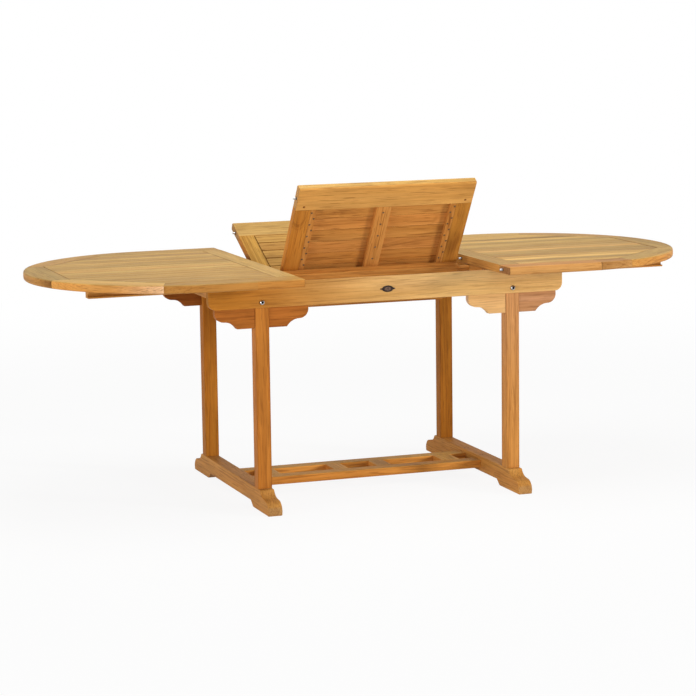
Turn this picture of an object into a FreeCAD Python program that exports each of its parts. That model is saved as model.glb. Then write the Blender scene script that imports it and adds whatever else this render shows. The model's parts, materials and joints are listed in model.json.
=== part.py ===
import FreeCAD
import Part
import Sketcher
import math
import os
import re

# Oval extending table. X runs along the table, Y away from the front, Z up.
# The origin lies on the floor under the middle of the top. The halves of the top are drawn apart
# and the leaf stands half unfolded between them.
doc = FreeCAD.newDocument("extending_table")
dims = doc.addObject("Spreadsheet::Sheet", "dims")

# Driving dimensions in millimetres, angles in degrees, counts as whole numbers.
sizes = {
    # The top and its outline.
    "table_height": 760,
    "top_thickness": 27,
    "top_half_width": 495,
    "half_length": 768,
    "half_drawn": 345,
    "rim_width": 86,
    "rim_end_width": 94,
    "field_bend_reach": 152,
    "rim_joint_lean": 20,
    "end_board_half_width": 187,
    "inner_rail_width": 66,
    "rim_arris": 4,
    # Slats and battens inside the rim and inside the leaf.
    "slat_count": 17,
    "slat_gap": 2.4,
    "slat_thickness": 14,
    "slat_chamfer": 1.2,
    "batten_width": 50,
    "first_batten_gap": 40,
    "batten_pitch": 210,
    # The leaf and its hinge.
    "leaf_half_length": 302,
    "leaf_slat_count": 7,
    "leaf_stile_width": 52,
    "leaf_cleat_width": 20,
    "leaf_edge_gap": 1,
    "leaf_front_angle": 56,
    "leaf_back_angle": 27,
    "pivot_reach": 140,
    "pivot_drop": 38.5,
    "pivot_bar_width": 44,
    "pivot_bar_depth": 25,
    "pivot_stub_radius": 9,
    "pivot_stub_length": 66,
    "hinge_reach": 190,
    "hinge_length": 64,
    "hinge_plate_height": 20,
    "hinge_plate_thickness": 2,
    "hinge_plate_proud": 0.5,
    "knuckle_radius": 3.5,
    "knuckle_rise": 0.6,
    "hinge_pin_radius": 1.6,
    # Locating pins.
    "half_pin_inset": 60,
    "leaf_pin_inset": 46,
    "inner_pin_inset": 12,
    "pin_radius": 4,
    "pin_proud": 11,
    "pin_buried": 22,
    # Runners and their guides.
    "runner_length": 640,
    "runner_width": 36,
    "runner_depth": 24,
    "guide_width": 12,
    "guide_height": 9,
    "guide_drop": 9,
    # Aprons and cross rails.
    "apron_half_length": 607,
    "apron_height": 80.5,
    "apron_thickness": 25,
    "apron_face_reach": 319,
    "apron_corner_radius": 26,
    "apron_arris": 2,
    "apron_ease_width": 14,
    "apron_ease_depth": 4,
    "end_rail_thickness": 22,
    "end_rail_inset": 3,
    "end_rail_height": 44,
    "pivot_rail_thickness": 26,
    "pivot_rail_height": 76,
    # Legs, brackets, feet and stretchers.
    "leg_reach": 430,
    "leg_width": 47,
    "leg_depth": 42,
    "leg_setback": 3,
    "leg_lap_height": 52,
    "leg_chamfer": 2,
    "bracket_height": 64,
    "bracket_thickness": 22,
    "bracket_setback": 6,
    "bracket_length": 132,
    "bracket_end_height": 10,
    "bracket_round_radius": 30,
    "bracket_cove_radius": 50,
    "foot_half_length": 418,
    "foot_width": 47,
    "foot_height": 70,
    "foot_flat_half_length": 333,
    "foot_pad_length": 164,
    "foot_ramp_length": 25,
    "foot_rise": 18,
    "foot_nose_height": 10,
    "foot_nose_radius": 34,
    "foot_cove_radius": 42,
    "foot_step_width": 9,
    "foot_step_height": 2,
    "stretcher_inner_reach": 44,
    "stretcher_width": 50,
    "stretcher_thickness": 27,
    "stretcher_bottom": 31,
    "stretcher_arris": 2,
    "rung_inner_reach": 77,
    "rung_foot_gap": 57.5,
    "rung_inner_width": 52,
    "rung_outer_width": 62,
    # Bolts and nuts.
    "bolt_rise": 18,
    "bolt_radius": 4,
    "bolt_head_radius": 9,
    "bolt_head_depth": 5,
    "nut_radius": 7.5,
    "nut_depth": 9,
    # Clearances.
    "slide_gap": 0.5,
    "fit_gap": 0.4,
    "overrun": 20,
}
for row, (alias, size) in enumerate(sizes.items(), start=1):
    dims.set(f"A{row}", alias)
    dims.set(f"B{row}", str(size))
    dims.setAlias(f"B{row}", alias)
doc.recompute()

ALONG_X = FreeCAD.Vector(1, 0, 0)
nodes = []


def cells(text):
    """Give a size text the sheet's name in front of each alias."""
    return re.sub(r"[a-z_]+", lambda word: "dims." + word[0] if word[0] in sizes else word[0], text)


def number(text):
    """Work a size text out to a plain number."""
    return float(dims.evalExpression(cells(text)))


def bind(thing, prop, text):
    """Tie a property of an object to a size text."""
    thing.setExpression(prop, cells(text))


def node(thing, name):
    """Name a finished sub-part and keep it for export."""
    thing.Label = name
    nodes.append(thing)
    return thing


def arc_centre(start, end, radius, turn):
    """Centre of the arc of that radius that leaves start and turns left (1) or right (-1) to end."""
    chord = end - start
    half = chord.Length / 2
    rise = math.sqrt(max(radius * radius - half * half, 0))
    side = FreeCAD.Vector(-chord.y, chord.x, 0)
    side.normalize()
    return start + chord * 0.5 + side * (rise * turn)


def draw(sketch, path):
    """Draw a closed outline: points (x, y), with ("arc", radius, turn) between two of them if curved."""
    points = [item for item in path if item[0] != "arc"]
    places = [FreeCAD.Vector(number(x), number(y), 0) for x, y in points]
    arcs = {}
    for place, item in enumerate(path):
        if item[0] == "arc":
            arcs[sum(1 for earlier in path[:place] if earlier[0] != "arc") - 1] = item
    starts = []
    for index, start in enumerate(places):
        end = places[(index + 1) % len(places)]
        if index in arcs:
            radius = number(arcs[index][1])
            turn = arcs[index][2]
            centre = arc_centre(start, end, radius, turn)
            first, last = (start, end) if turn > 0 else (end, start)
            circle = Part.Circle(centre, FreeCAD.Vector(0, 0, 1), radius)
            angles = [math.atan2(p.y - centre.y, p.x - centre.x) for p in (first, last)]
            if angles[1] < angles[0]:
                angles[1] += 2 * math.pi
            edge = sketch.addGeometry(Part.ArcOfCircle(circle, *angles))
            starts.append((edge, 1, 2) if turn > 0 else (edge, 2, 1))
            constraint = sketch.addConstraint(Sketcher.Constraint("Radius", edge, radius))
            sketch.renameConstraint(constraint, f"radius_{index}")
            bind(sketch, f"Constraints.radius_{index}", arcs[index][1])
        else:
            edge = sketch.addGeometry(Part.LineSegment(start, end))
            starts.append((edge, 1, 2))
    for index, (edge, first, last) in enumerate(starts):
        after = starts[(index + 1) % len(starts)]
        sketch.addConstraint(Sketcher.Constraint("Coincident", edge, last, after[0], after[1]))
        for kind, share, text in zip(("DistanceX", "DistanceY"), places[index], points[index]):
            constraint = sketch.addConstraint(Sketcher.Constraint(kind, -1, 1, edge, first, share))
            sketch.renameConstraint(constraint, f"{kind}_{index}")
            bind(sketch, f"Constraints.{kind}_{index}", text)


def circle(sketch, x, y, radius):
    """Draw a full circle about (x, y)."""
    place = FreeCAD.Vector(number(x), number(y), 0)
    edge = sketch.addGeometry(Part.Circle(place, FreeCAD.Vector(0, 0, 1), number(radius)))
    for kind, share, text in zip(("DistanceX", "DistanceY"), place, (x, y)):
        constraint = sketch.addConstraint(Sketcher.Constraint(kind, -1, 1, edge, 3, share))
        sketch.renameConstraint(constraint, kind)
        bind(sketch, f"Constraints.{kind}", text)
    constraint = sketch.addConstraint(Sketcher.Constraint("Radius", edge, number(radius)))
    sketch.renameConstraint(constraint, "radius")
    bind(sketch, "Constraints.radius", radius)


def body_with_sketch(name, plane, start):
    """A body with an empty sketch on one of its origin planes, moved along the plane's normal."""
    body = doc.addObject("PartDesign::Body", name)
    sketch = body.newObject("Sketcher::SketchObject", name + "_outline")
    support = [item for item in body.Origin.OriginFeatures if item.Role == plane]
    sketch.AttachmentSupport = [(support[0], "")]
    sketch.MapMode = "FlatFace"
    bind(sketch, "AttachmentOffset.Base.z", start)
    return body, sketch


def pad(body, sketch, depth):
    """Raise a sketch along its plane's normal."""
    feature = body.newObject("PartDesign::Pad", body.Name + "_pad")
    feature.Profile = sketch
    bind(feature, "Length", depth)
    doc.recompute()
    return feature


def board(name, plane, path, start, depth):
    """A board whose outline lies in an origin plane and whose thickness follows the normal."""
    body, sketch = body_with_sketch(name, plane, start)
    draw(sketch, path)
    pad(body, sketch, depth)
    return body


def rod(name, y, z, radius, start, length):
    """A round bar along X."""
    body, sketch = body_with_sketch(name, "YZ_Plane", start)
    circle(sketch, y, z, radius)
    pad(body, sketch, length)
    return body


def rectangle(x_low, x_high, y_low, y_high):
    """Outline of a plain rectangle."""
    return [(x_low, y_low), (x_high, y_low), (x_high, y_high), (x_low, y_high)]


def chamfered(x_low, x_high, y_low, y_high, cut):
    """Outline of a rectangle with four chamfered corners."""
    return [
        (f"{x_low} + {cut}", y_low), (f"{x_high} - {cut}", y_low),
        (x_high, f"{y_low} + {cut}"), (x_high, f"{y_high} - {cut}"),
        (f"{x_high} - {cut}", y_high), (f"{x_low} + {cut}", y_high),
        (x_low, f"{y_high} - {cut}"), (x_low, f"{y_low} + {cut}"),
    ]


def mirrored(path, side_x, side_y):
    """The outline with its signs turned, each arc turning the other way if one sign changes."""
    turned = []
    for item in path:
        if item[0] == "arc":
            turned.append(("arc", item[1], item[2] * side_x * side_y))
        else:
            turned.append((f"{side_x} * ({item[0]})", f"{side_y} * ({item[1]})"))
    return turned


def low_end(side, near, far):
    """The lower of two places on one side of the middle, near and far given as distances."""
    return f"{near}" if side > 0 else f"-({far})"


def group(name, things):
    """Several solids in one object."""
    compound = doc.addObject("Part::Compound", name)
    compound.Links = things
    return compound


def cut(name, base, tools):
    """Take the tools' solids out of the base."""
    result = doc.addObject("Part::Cut", name)
    result.Base = base
    result.Tool = group(name + "_tools", tools)
    return result


def fuse(name, things):
    """Join things into one solid."""
    result = doc.addObject("Part::MultiFuse", name)
    result.Shapes = things
    result.Refine = True
    return result


def chamfer_edges(body, size, wanted):
    """Chamfer the edges of a body's last feature that wanted picks."""
    base = body.Tip
    names = [f"Edge{i}" for i, edge in enumerate(base.Shape.Edges, start=1) if wanted(edge)]
    feature = body.newObject("PartDesign::Chamfer", body.Name + "_arris")
    feature.Base = (base, names)
    bind(feature, "Size", size)
    doc.recompute()


# Places that several pieces share.
UNDER = "(table_height - top_thickness)"
APRON_TOP = f"({UNDER} - slide_gap)"
APRON_BOTTOM = f"({APRON_TOP} - apron_height)"
APRON_BACK = "(apron_face_reach - apron_thickness)"
FIELD = "(top_half_width - rim_width)"
SLAT_PITCH = f"(2 * {FIELD} / slat_count)"
SLAT_UNDER = "(table_height - slat_thickness)"
MID_TOP = "(table_height - top_thickness / 2)"
TIP = "(half_drawn + half_length)"
FIELD_END = f"({TIP} - rim_end_width)"
LEG_FACE = "(apron_face_reach - leg_setback)"
LEG_BACK = f"({LEG_FACE} - leg_depth)"
RUNNER_OUTER = f"({APRON_BACK} - slide_gap)"
RUNNER_INNER = f"({RUNNER_OUTER} - runner_width)"
RUNNER_BOTTOM = f"({UNDER} - runner_depth)"
GUIDE_TOP = f"({UNDER} - guide_drop)"
PIVOT_HEIGHT = "(table_height - pivot_drop)"
HINGE_HEIGHT = "(table_height + knuckle_rise)"
HINGE_RAIL_OUTER = f"({FIELD} - leaf_slat_count * {SLAT_PITCH})"
BOLT_HEIGHT = f"({APRON_BOTTOM} + bolt_rise)"
FOOT_INNER = "(leg_reach - foot_width / 2)"

# The outline of a half: straight sides and a half round end. The slats' field has cut corners.
END_CENTRE = f"({TIP} - top_half_width)"
BEND_X = f"({END_CENTRE} + field_bend_reach)"
JOINT_X = f"({BEND_X} + rim_joint_lean)"
JOINT_REACH = "(field_bend_reach + rim_joint_lean)"
JOINT_Y = f"sqrt(top_half_width * top_half_width - {JOINT_REACH} * {JOINT_REACH})"
END_BOARD_SQUARE = "end_board_half_width * end_board_half_width"
END_BOARD_EDGE = f"({END_CENTRE} + sqrt(top_half_width * top_half_width - {END_BOARD_SQUARE}))"

SIDES = {"left": -1, "right": 1}
FACES = {"front": -1, "back": 1}


def at_height(edge, height):
    """Whether an edge lies level at a height."""
    box = edge.BoundBox
    return abs(box.ZMax - height) < 0.01 and abs(box.ZMin - height) < 0.01


def on_outline(edge):
    """Whether an edge follows the outer outline of the top, above or below."""
    levels = (number("table_height"), number(UNDER))
    if not any(at_height(edge, level) for level in levels):
        return False
    middle = edge.valueAt((edge.FirstParameter + edge.LastParameter) / 2)
    straight_side = edge.Curve.TypeId == "Part::GeomLine" and edge.BoundBox.YLength < 0.01
    return edge.Curve.TypeId == "Part::GeomCircle" or (
        straight_side and abs(abs(middle.y) - number("top_half_width")) < 0.01
    )


def foot(side_name, side):
    """A sled foot: two pads, a raised middle and an ogee at each end."""
    step_out = "(foot_half_length - foot_nose_radius)"
    nose_top = "(foot_nose_height + foot_nose_radius)"
    half = [
        ("foot_half_length - foot_pad_length - foot_ramp_length", "foot_rise"),
        ("foot_half_length - foot_pad_length", "0"),
        ("foot_half_length", "0"),
        ("foot_half_length", "foot_nose_height"),
        ("arc", "foot_nose_radius", 1),
        (step_out, nose_top),
        (f"{step_out} - foot_step_width", f"{nose_top} + foot_step_height"),
        ("arc", "foot_cove_radius", -1),
        ("foot_flat_half_length", "foot_height"),
    ]
    other = mirrored(half[::-1], -1, 1)
    for item, place in enumerate(other):
        if place[0] == "arc":
            other[item] = ("arc", place[1], -place[2])
    start = f"{side} * leg_reach - foot_width / 2"
    body = board(f"foot_{side_name}", "YZ_Plane", half + other, start, "foot_width")
    node(body, f"foot_{side_name}")


def leg(face_name, face, side_name, side):
    """A leg: full section up to the apron, then a lap that stands behind it."""
    name = f"leg_{face_name}_{side_name}"
    centre = f"({side} * leg_reach)"
    x_low = f"({centre} - leg_width / 2)"
    x_high = f"({centre} + leg_width / 2)"
    y_low = low_end(face, LEG_BACK, LEG_FACE)
    y_high = low_end(face, LEG_FACE, LEG_BACK)
    height = f"{APRON_BOTTOM} + leg_lap_height - foot_height"
    post = board(
        name + "_post", "XY_Plane", chamfered(x_low, x_high, y_low, y_high, "leg_chamfer"), "foot_height", height
    )
    lap_low = low_end(face, APRON_BACK, f"{LEG_FACE} + overrun")
    lap_high = low_end(face, f"{LEG_FACE} + overrun", APRON_BACK)
    outline = rectangle(f"{x_low} - overrun", f"{x_high} + overrun", lap_low, lap_high)
    shoulder = board(name + "_shoulder", "XY_Plane", outline, APRON_BOTTOM, "leg_lap_height + overrun")
    hole = bolt_hole(name + "_hole", side, face)
    node(cut(name, post, [shoulder, hole]), name)


def bolt_hole(name, side, face):
    """The hole that an apron bolt passes through."""
    start = low_end(-face, f"{LEG_BACK} - overrun", "apron_face_reach + overrun")
    body, sketch = body_with_sketch(name, "XZ_Plane", start)
    circle(sketch, f"{side} * leg_reach", BOLT_HEIGHT, "bolt_radius + fit_gap")
    pad(body, sketch, "apron_thickness + leg_depth + 2 * overrun")
    return body


def apron(face_name, face):
    """A long apron board with rounded lower corners and a soft arris on its face."""
    name = f"apron_{face_name}"
    shoulder = f"{APRON_BOTTOM} + apron_corner_radius"
    inset = "apron_half_length - apron_corner_radius"
    outline = [
        (f"-({inset})", APRON_BOTTOM), (inset, APRON_BOTTOM),
        ("arc", "apron_corner_radius", 1),
        ("apron_half_length", shoulder), ("apron_half_length", APRON_TOP),
        ("-apron_half_length", APRON_TOP), ("-apron_half_length", shoulder),
        ("arc", "apron_corner_radius", 1),
    ]
    start = low_end(-face, APRON_BACK, "apron_face_reach")
    blank = board(name + "_blank", "XZ_Plane", outline, start, "apron_thickness")
    low_part = number(APRON_TOP) - number("apron_arris")

    def on_face(edge):
        box = edge.BoundBox
        outer = face * number("apron_face_reach")
        return abs(box.YMax - outer) < 0.01 and box.YLength < 0.01 and box.ZMin < low_part

    chamfer_edges(blank, "apron_arris", on_face)
    tools = [bolt_hole(f"{name}_hole_{side_name}", side, face) for side_name, side in SIDES.items()]
    # The inner top edge is eased so that the leaf clears it as it unfolds.
    ease = [
        (APRON_BACK, f"{APRON_TOP} - apron_ease_depth"),
        (f"{APRON_BACK} + apron_ease_width", APRON_TOP),
        (f"{APRON_BACK} + apron_ease_width", f"{APRON_TOP} + overrun"),
        (f"{APRON_BACK} - overrun", f"{APRON_TOP} + overrun"),
        (f"{APRON_BACK} - overrun", f"{APRON_TOP} - apron_ease_depth"),
    ]
    length = "2 * (apron_half_length + overrun)"
    start = "-apron_half_length - overrun"
    tools.append(board(name + "_ease", "YZ_Plane", mirrored(ease, face, 1), start, length))
    node(cut(name, blank, tools), name)


def bracket_pair(face_name, face, side_name, side):
    """The two shaped boards beside a leg, under the apron: a round, then a cove down to a flat."""
    name = f"bracket_{face_name}_{side_name}"
    leg_side = "leg_width / 2"
    tip = f"{leg_side} + bracket_length"
    round_end = f"{tip} - bracket_round_radius"
    round_low = f"{APRON_BOTTOM} - bracket_end_height - bracket_round_radius"
    bottom = f"{APRON_BOTTOM} - bracket_height"
    cove_drop = f"(bracket_cove_radius - ({round_low} - ({bottom})))"
    cove_run = f"sqrt(bracket_cove_radius * bracket_cove_radius - {cove_drop} * {cove_drop})"
    outline = [
        (leg_side, bottom), (f"{round_end} - {cove_run}", bottom),
        ("arc", "bracket_cove_radius", -1),
        (round_end, round_low),
        ("arc", "bracket_round_radius", 1),
        (tip, f"{APRON_BOTTOM} - bracket_end_height"), (tip, APRON_BOTTOM), (leg_side, APRON_BOTTOM),
    ]
    outer = "apron_face_reach - bracket_setback"
    start = low_end(-face, f"{outer} - bracket_thickness", outer)
    boards = []
    for turn_name, turn in (("outer", side), ("inner", -side)):
        moved = [
            item if item[0] == "arc" else (f"{item[0]} + {side * turn} * leg_reach", item[1]) for item in outline
        ]
        path = mirrored(moved, turn, 1)
        boards.append(board(f"{name}_{turn_name}", "XZ_Plane", path, start, "bracket_thickness"))
    node(group(name, boards), name)


def runner_notches(name, x_low, x_high):
    """The spaces that a cross rail leaves at its ends for the runners and the guides."""
    tools = []
    for face_name, face in FACES.items():
        near = f"{RUNNER_INNER} - slide_gap"
        far = f"{APRON_BACK} + overrun"
        outline = rectangle(x_low, x_high, low_end(face, near, far), low_end(face, far, near))
        floor = f"{RUNNER_BOTTOM} - slide_gap"
        tools.append(board(f"{name}_notch_{face_name}", "XY_Plane", outline, floor, "runner_depth + overrun"))
    return tools


def end_rail(side_name, side):
    """The cross rail that closes the frame at one end, notched for the runners."""
    name = f"end_rail_{side_name}"
    far = "apron_half_length - end_rail_inset"
    near = f"{far} - end_rail_thickness"
    x_low = low_end(side, near, far)
    x_high = low_end(side, far, near)
    outline = rectangle(x_low, x_high, f"-{APRON_BACK}", APRON_BACK)
    blank = board(name + "_blank", "XY_Plane", outline, f"{APRON_TOP} - end_rail_height", "end_rail_height")
    notches = runner_notches(name, f"{x_low} - overrun", f"{x_high} + overrun")
    node(cut(name, blank, notches), name)


def pivot_rail(side_name, side):
    """The inner cross rail: notched for the runners, clear of the legs, with a seat for the leaf's stub."""
    name = f"pivot_rail_{side_name}"
    near = "half_drawn + slide_gap"
    far = f"{near} + pivot_rail_thickness"
    x_low = low_end(side, near, far)
    x_high = low_end(side, far, near)
    outline = rectangle(x_low, x_high, f"-{APRON_BACK}", APRON_BACK)
    blank = board(name + "_blank", "XY_Plane", outline, f"{APRON_TOP} - pivot_rail_height", "pivot_rail_height")
    tools = runner_notches(name, f"{x_low} - overrun", f"{x_high} + overrun")
    seat = "(pivot_stub_radius + fit_gap)"
    depth = "pivot_rail_thickness + 2 * overrun"
    tools.append(rod(name + "_seat", "-pivot_reach", PIVOT_HEIGHT, seat, f"{x_low} - overrun", depth))
    mouth = rectangle(f"-pivot_reach - {seat}", f"-pivot_reach + {seat}", PIVOT_HEIGHT, f"{APRON_TOP} + overrun")
    tools.append(board(name + "_mouth", "YZ_Plane", mouth, f"{x_low} - overrun", depth))
    for face_name, face in FACES.items():
        near = f"{LEG_BACK} - nut_depth - fit_gap"
        far = f"{APRON_BACK} + overrun"
        house = rectangle(
            f"{side} * leg_reach - leg_width / 2 - fit_gap", f"{side} * leg_reach + leg_width / 2 + fit_gap",
            low_end(face, near, far), low_end(face, far, near),
        )
        floor = f"{APRON_BOTTOM} - overrun"
        tools.append(board(f"{name}_house_{face_name}", "XY_Plane", house, floor, "leg_lap_height + overrun + fit_gap"))
    node(cut(name, blank, tools), name)


def slide_guides():
    """The strips on the aprons' inner faces that the runners' grooves ride on."""
    strips = []
    for face_name, face in FACES.items():
        inner = f"{APRON_BACK} - guide_width"
        path = rectangle(
            low_end(face, inner, APRON_BACK), low_end(face, APRON_BACK, inner), f"{GUIDE_TOP} - guide_height", GUIDE_TOP
        )
        length = "2 * (apron_half_length - end_rail_inset)"
        strips.append(board(f"guide_{face_name}", "YZ_Plane", path, "end_rail_inset - apron_half_length", length))
    node(group("slide_guides", strips), "slide_guides")


def stretcher(face_name, face):
    """A long stretcher between the feet."""
    far = "stretcher_inner_reach + stretcher_width"
    path = chamfered(
        low_end(face, "stretcher_inner_reach", far), low_end(face, far, "stretcher_inner_reach"),
        "stretcher_bottom", "stretcher_bottom + stretcher_thickness", "stretcher_arris",
    )
    body = board(f"stretcher_{face_name}", "YZ_Plane", path, f"-{FOOT_INNER}", f"2 * {FOOT_INNER}")
    node(body, f"stretcher_{face_name}")


def stretcher_rungs():
    """The four rungs between the stretchers."""
    rungs = []
    centres = {"inner": "rung_inner_reach", "outer": f"({FOOT_INNER} - rung_foot_gap - rung_outer_width / 2)"}
    for side_name, side in SIDES.items():
        for place, reach in centres.items():
            centre = f"{side} * {reach}"
            path = chamfered(
                f"{centre} - rung_{place}_width / 2", f"{centre} + rung_{place}_width / 2",
                "stretcher_bottom", "stretcher_bottom + stretcher_thickness", "stretcher_arris",
            )
            name = f"rung_{place}_{side_name}"
            rungs.append(board(name, "XZ_Plane", path, "-stretcher_inner_reach", "2 * stretcher_inner_reach"))
    node(group("stretcher_rungs", rungs), "stretcher_rungs")


def apron_bolts():
    """The bolts through aprons and legs, and the six-sided nuts behind them."""
    bolts = []
    nuts = []
    for face_name, face in FACES.items():
        for side_name, side in SIDES.items():
            name = f"bolt_{face_name}_{side_name}"
            x = f"{side} * leg_reach"
            shank_low = low_end(-face, LEG_BACK, "apron_face_reach")
            body, sketch = body_with_sketch(name + "_shank", "XZ_Plane", shank_low)
            circle(sketch, x, BOLT_HEIGHT, "bolt_radius")
            pad(body, sketch, f"apron_face_reach - {LEG_BACK}")
            head_low = low_end(-face, "apron_face_reach", "apron_face_reach + bolt_head_depth")
            head, head_sketch = body_with_sketch(name + "_head", "XZ_Plane", head_low)
            circle(head_sketch, x, BOLT_HEIGHT, "bolt_head_radius")
            pad(head, head_sketch, "bolt_head_depth")
            bolts.append(fuse(name, [body, head]))
            nut_low = low_end(-face, f"{LEG_BACK} - nut_depth", LEG_BACK)
            corners = [
                (f"{x} + nut_radius * cos({turn})", f"{BOLT_HEIGHT} + nut_radius * sin({turn})")
                for turn in range(0, 360, 60)
            ]
            nuts.append(board(name + "_nut", "XZ_Plane", corners, nut_low, "nut_depth"))
    node(group("apron_bolts", bolts), "apron_bolts")
    node(group("apron_nuts", nuts), "apron_nuts")


def pin(name, y, edge):
    """A locating pin that stands out of an edge towards the left."""
    return rod(name, y, MID_TOP, "pin_radius", f"{edge} - pin_proud", "pin_proud + pin_buried")


def pin_bore(name, y, low, high):
    """The bore that holds a pin, or that a pin of the neighbouring piece enters."""
    return rod(name, y, MID_TOP, "pin_radius + fit_gap", low, f"({high}) - ({low})")


# The right half carries pins of its own, the leaf's left edge the others, so their places differ.
HALF_PINS = {-1: "(top_half_width - leaf_pin_inset)", 1: "(top_half_width - half_pin_inset)"}
INNER_PIN = f"({HINGE_RAIL_OUTER} + inner_pin_inset)"


def edge_bores(name, side, places):
    """Bores along the inner edge of a half: seats on the right, sockets on the left."""
    depth = "(pin_buried + fit_gap)"
    low = "half_drawn - overrun" if side > 0 else f"-half_drawn - {depth}"
    high = f"half_drawn + {depth}" if side > 0 else f"-half_drawn + overrun"
    return [pin_bore(f"{name}_bore_{i}", y, low, high) for i, y in enumerate(places)]


def rim(face_name, face, side_name, side):
    """The straight rim board of a half, from the inner edge to the corner."""
    name = f"rim_{face_name}_{side_name}"
    outline = [
        ("half_drawn", FIELD), (BEND_X, FIELD), (JOINT_X, JOINT_Y),
        ("arc", "top_half_width", 1),
        (END_CENTRE, "top_half_width"), ("half_drawn", "top_half_width"),
    ]
    blank = board(name + "_blank", "XY_Plane", mirrored(outline, side, face), UNDER, "top_thickness")
    chamfer_edges(blank, "rim_arris", on_outline)
    bores = edge_bores(name, side, [f"{face} * {HALF_PINS[side]}"])
    node(cut(name, blank, bores), name)


def corner(face_name, face, side_name, side):
    """The rounded corner board of a half, between the rim board and the end board."""
    name = f"corner_{face_name}_{side_name}"
    outline = [
        (BEND_X, FIELD), (FIELD_END, "end_board_half_width"), (END_BOARD_EDGE, "end_board_half_width"),
        ("arc", "top_half_width", 1),
        (JOINT_X, JOINT_Y),
    ]
    body = board(name, "XY_Plane", mirrored(outline, side, face), UNDER, "top_thickness")
    chamfer_edges(body, "rim_arris", on_outline)
    node(body, name)


def end_board(side_name, side):
    """The board that closes the rim at the tip of a half."""
    name = f"end_board_{side_name}"
    outline = [
        (FIELD_END, "-end_board_half_width"), (END_BOARD_EDGE, "-end_board_half_width"),
        ("arc", "top_half_width", 1),
        (END_BOARD_EDGE, "end_board_half_width"), (FIELD_END, "end_board_half_width"),
    ]
    body = board(name, "XY_Plane", mirrored(outline, side, 1), UNDER, "top_thickness")
    chamfer_edges(body, "rim_arris", on_outline)
    node(body, name)


def inner_rail(side_name, side):
    """The rail along the gap, between the two rim boards of a half."""
    name = f"inner_rail_{side_name}"
    outline = mirrored(rectangle("half_drawn", "half_drawn + inner_rail_width", f"-{FIELD}", FIELD), side, 1)
    blank = board(name + "_blank", "XY_Plane", outline, UNDER, "top_thickness")
    bores = edge_bores(name, side, [f"{face} * {INNER_PIN}" for face in FACES.values()])
    node(cut(name, blank, bores), name)


def slat(name, y_low, y_high, x_low, length):
    """A slat along X with chamfered upper edges."""
    low = f"{y_low} + slat_gap / 2"
    high = f"{y_high} - slat_gap / 2"
    section = [
        (low, SLAT_UNDER), (high, SLAT_UNDER), (high, "table_height - slat_chamfer"),
        (f"{high} - slat_chamfer", "table_height"), (f"{low} + slat_chamfer", "table_height"),
        (low, "table_height - slat_chamfer"),
    ]
    return board(name, "YZ_Plane", section, x_low, length)


def field_prism(name, side):
    """The space inside a half's rim: straight sides, two diagonals and the end."""
    outline = [
        ("half_drawn + inner_rail_width", f"-{FIELD}"), (BEND_X, f"-{FIELD}"),
        (FIELD_END, "-end_board_half_width"), (FIELD_END, "end_board_half_width"),
        (BEND_X, FIELD), ("half_drawn + inner_rail_width", FIELD),
    ]
    return board(name, "XY_Plane", mirrored(outline, side, 1), UNDER, "top_thickness")


def trimmed(name, things, prism):
    """The parts of the things that lie inside a prism."""
    result = doc.addObject("Part::Common", name)
    result.Base = group(name + "_whole", things)
    result.Tool = prism
    return result


def half_field(side_name, side):
    """The slats of a half and the battens that carry them, cut to the rim's inner outline."""
    near = "half_drawn + inner_rail_width"
    length = f"{FIELD_END} - ({near})"
    slats = []
    for index in range(int(number("slat_count"))):
        y_low = f"-{FIELD} + {index} * {SLAT_PITCH}"
        x_low = low_end(side, near, FIELD_END)
        slats.append(slat(f"slat_{side_name}_{index}", y_low, f"{y_low} + {SLAT_PITCH}", x_low, length))
    node(trimmed(f"slats_{side_name}", slats, field_prism(f"slat_field_{side_name}", side)), f"slats_{side_name}")
    battens = []
    for index in range(3):
        low = f"{near} + first_batten_gap + {index} * batten_pitch"
        outline = rectangle(low, f"{low} + batten_width", f"-{FIELD}", FIELD)
        name = f"batten_{side_name}_{index}"
        battens.append(board(name, "XY_Plane", mirrored(outline, side, 1), UNDER, "top_thickness - slat_thickness"))
    prism = field_prism(f"batten_field_{side_name}", side)
    node(trimmed(f"battens_{side_name}", battens, prism), f"battens_{side_name}")


def runners(side_name, side):
    """The two runners under a half, each with a groove that rides on a guide."""
    near = "half_drawn + slide_gap"
    x_low = low_end(side, near, f"{near} + runner_length")
    bars = []
    for face_name, face in FACES.items():
        groove_in = f"{APRON_BACK} - guide_width - slide_gap"
        groove_top = f"{GUIDE_TOP} + slide_gap"
        groove_low = f"{GUIDE_TOP} - guide_height - slide_gap"
        section = [
            (RUNNER_INNER, RUNNER_BOTTOM), (RUNNER_OUTER, RUNNER_BOTTOM), (RUNNER_OUTER, groove_low),
            (groove_in, groove_low), (groove_in, groove_top), (RUNNER_OUTER, groove_top),
            (RUNNER_OUTER, UNDER), (RUNNER_INNER, UNDER),
        ]
        name = f"runner_{face_name}_{side_name}"
        bars.append(board(name, "YZ_Plane", mirrored(section, face, 1), x_low, "runner_length"))
    node(group(f"runners_{side_name}", bars), f"runners_{side_name}")


def half_pins():
    """The four locating pins in the right half's inner edge."""
    pins = []
    for face_name, face in FACES.items():
        for place, reach in (("outer", HALF_PINS[1]), ("inner", INNER_PIN)):
            pins.append(pin(f"half_pin_{place}_{face_name}", f"{face} * {reach}", "half_drawn"))
    node(group("locating_pins_right", pins), "locating_pins_right")


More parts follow.
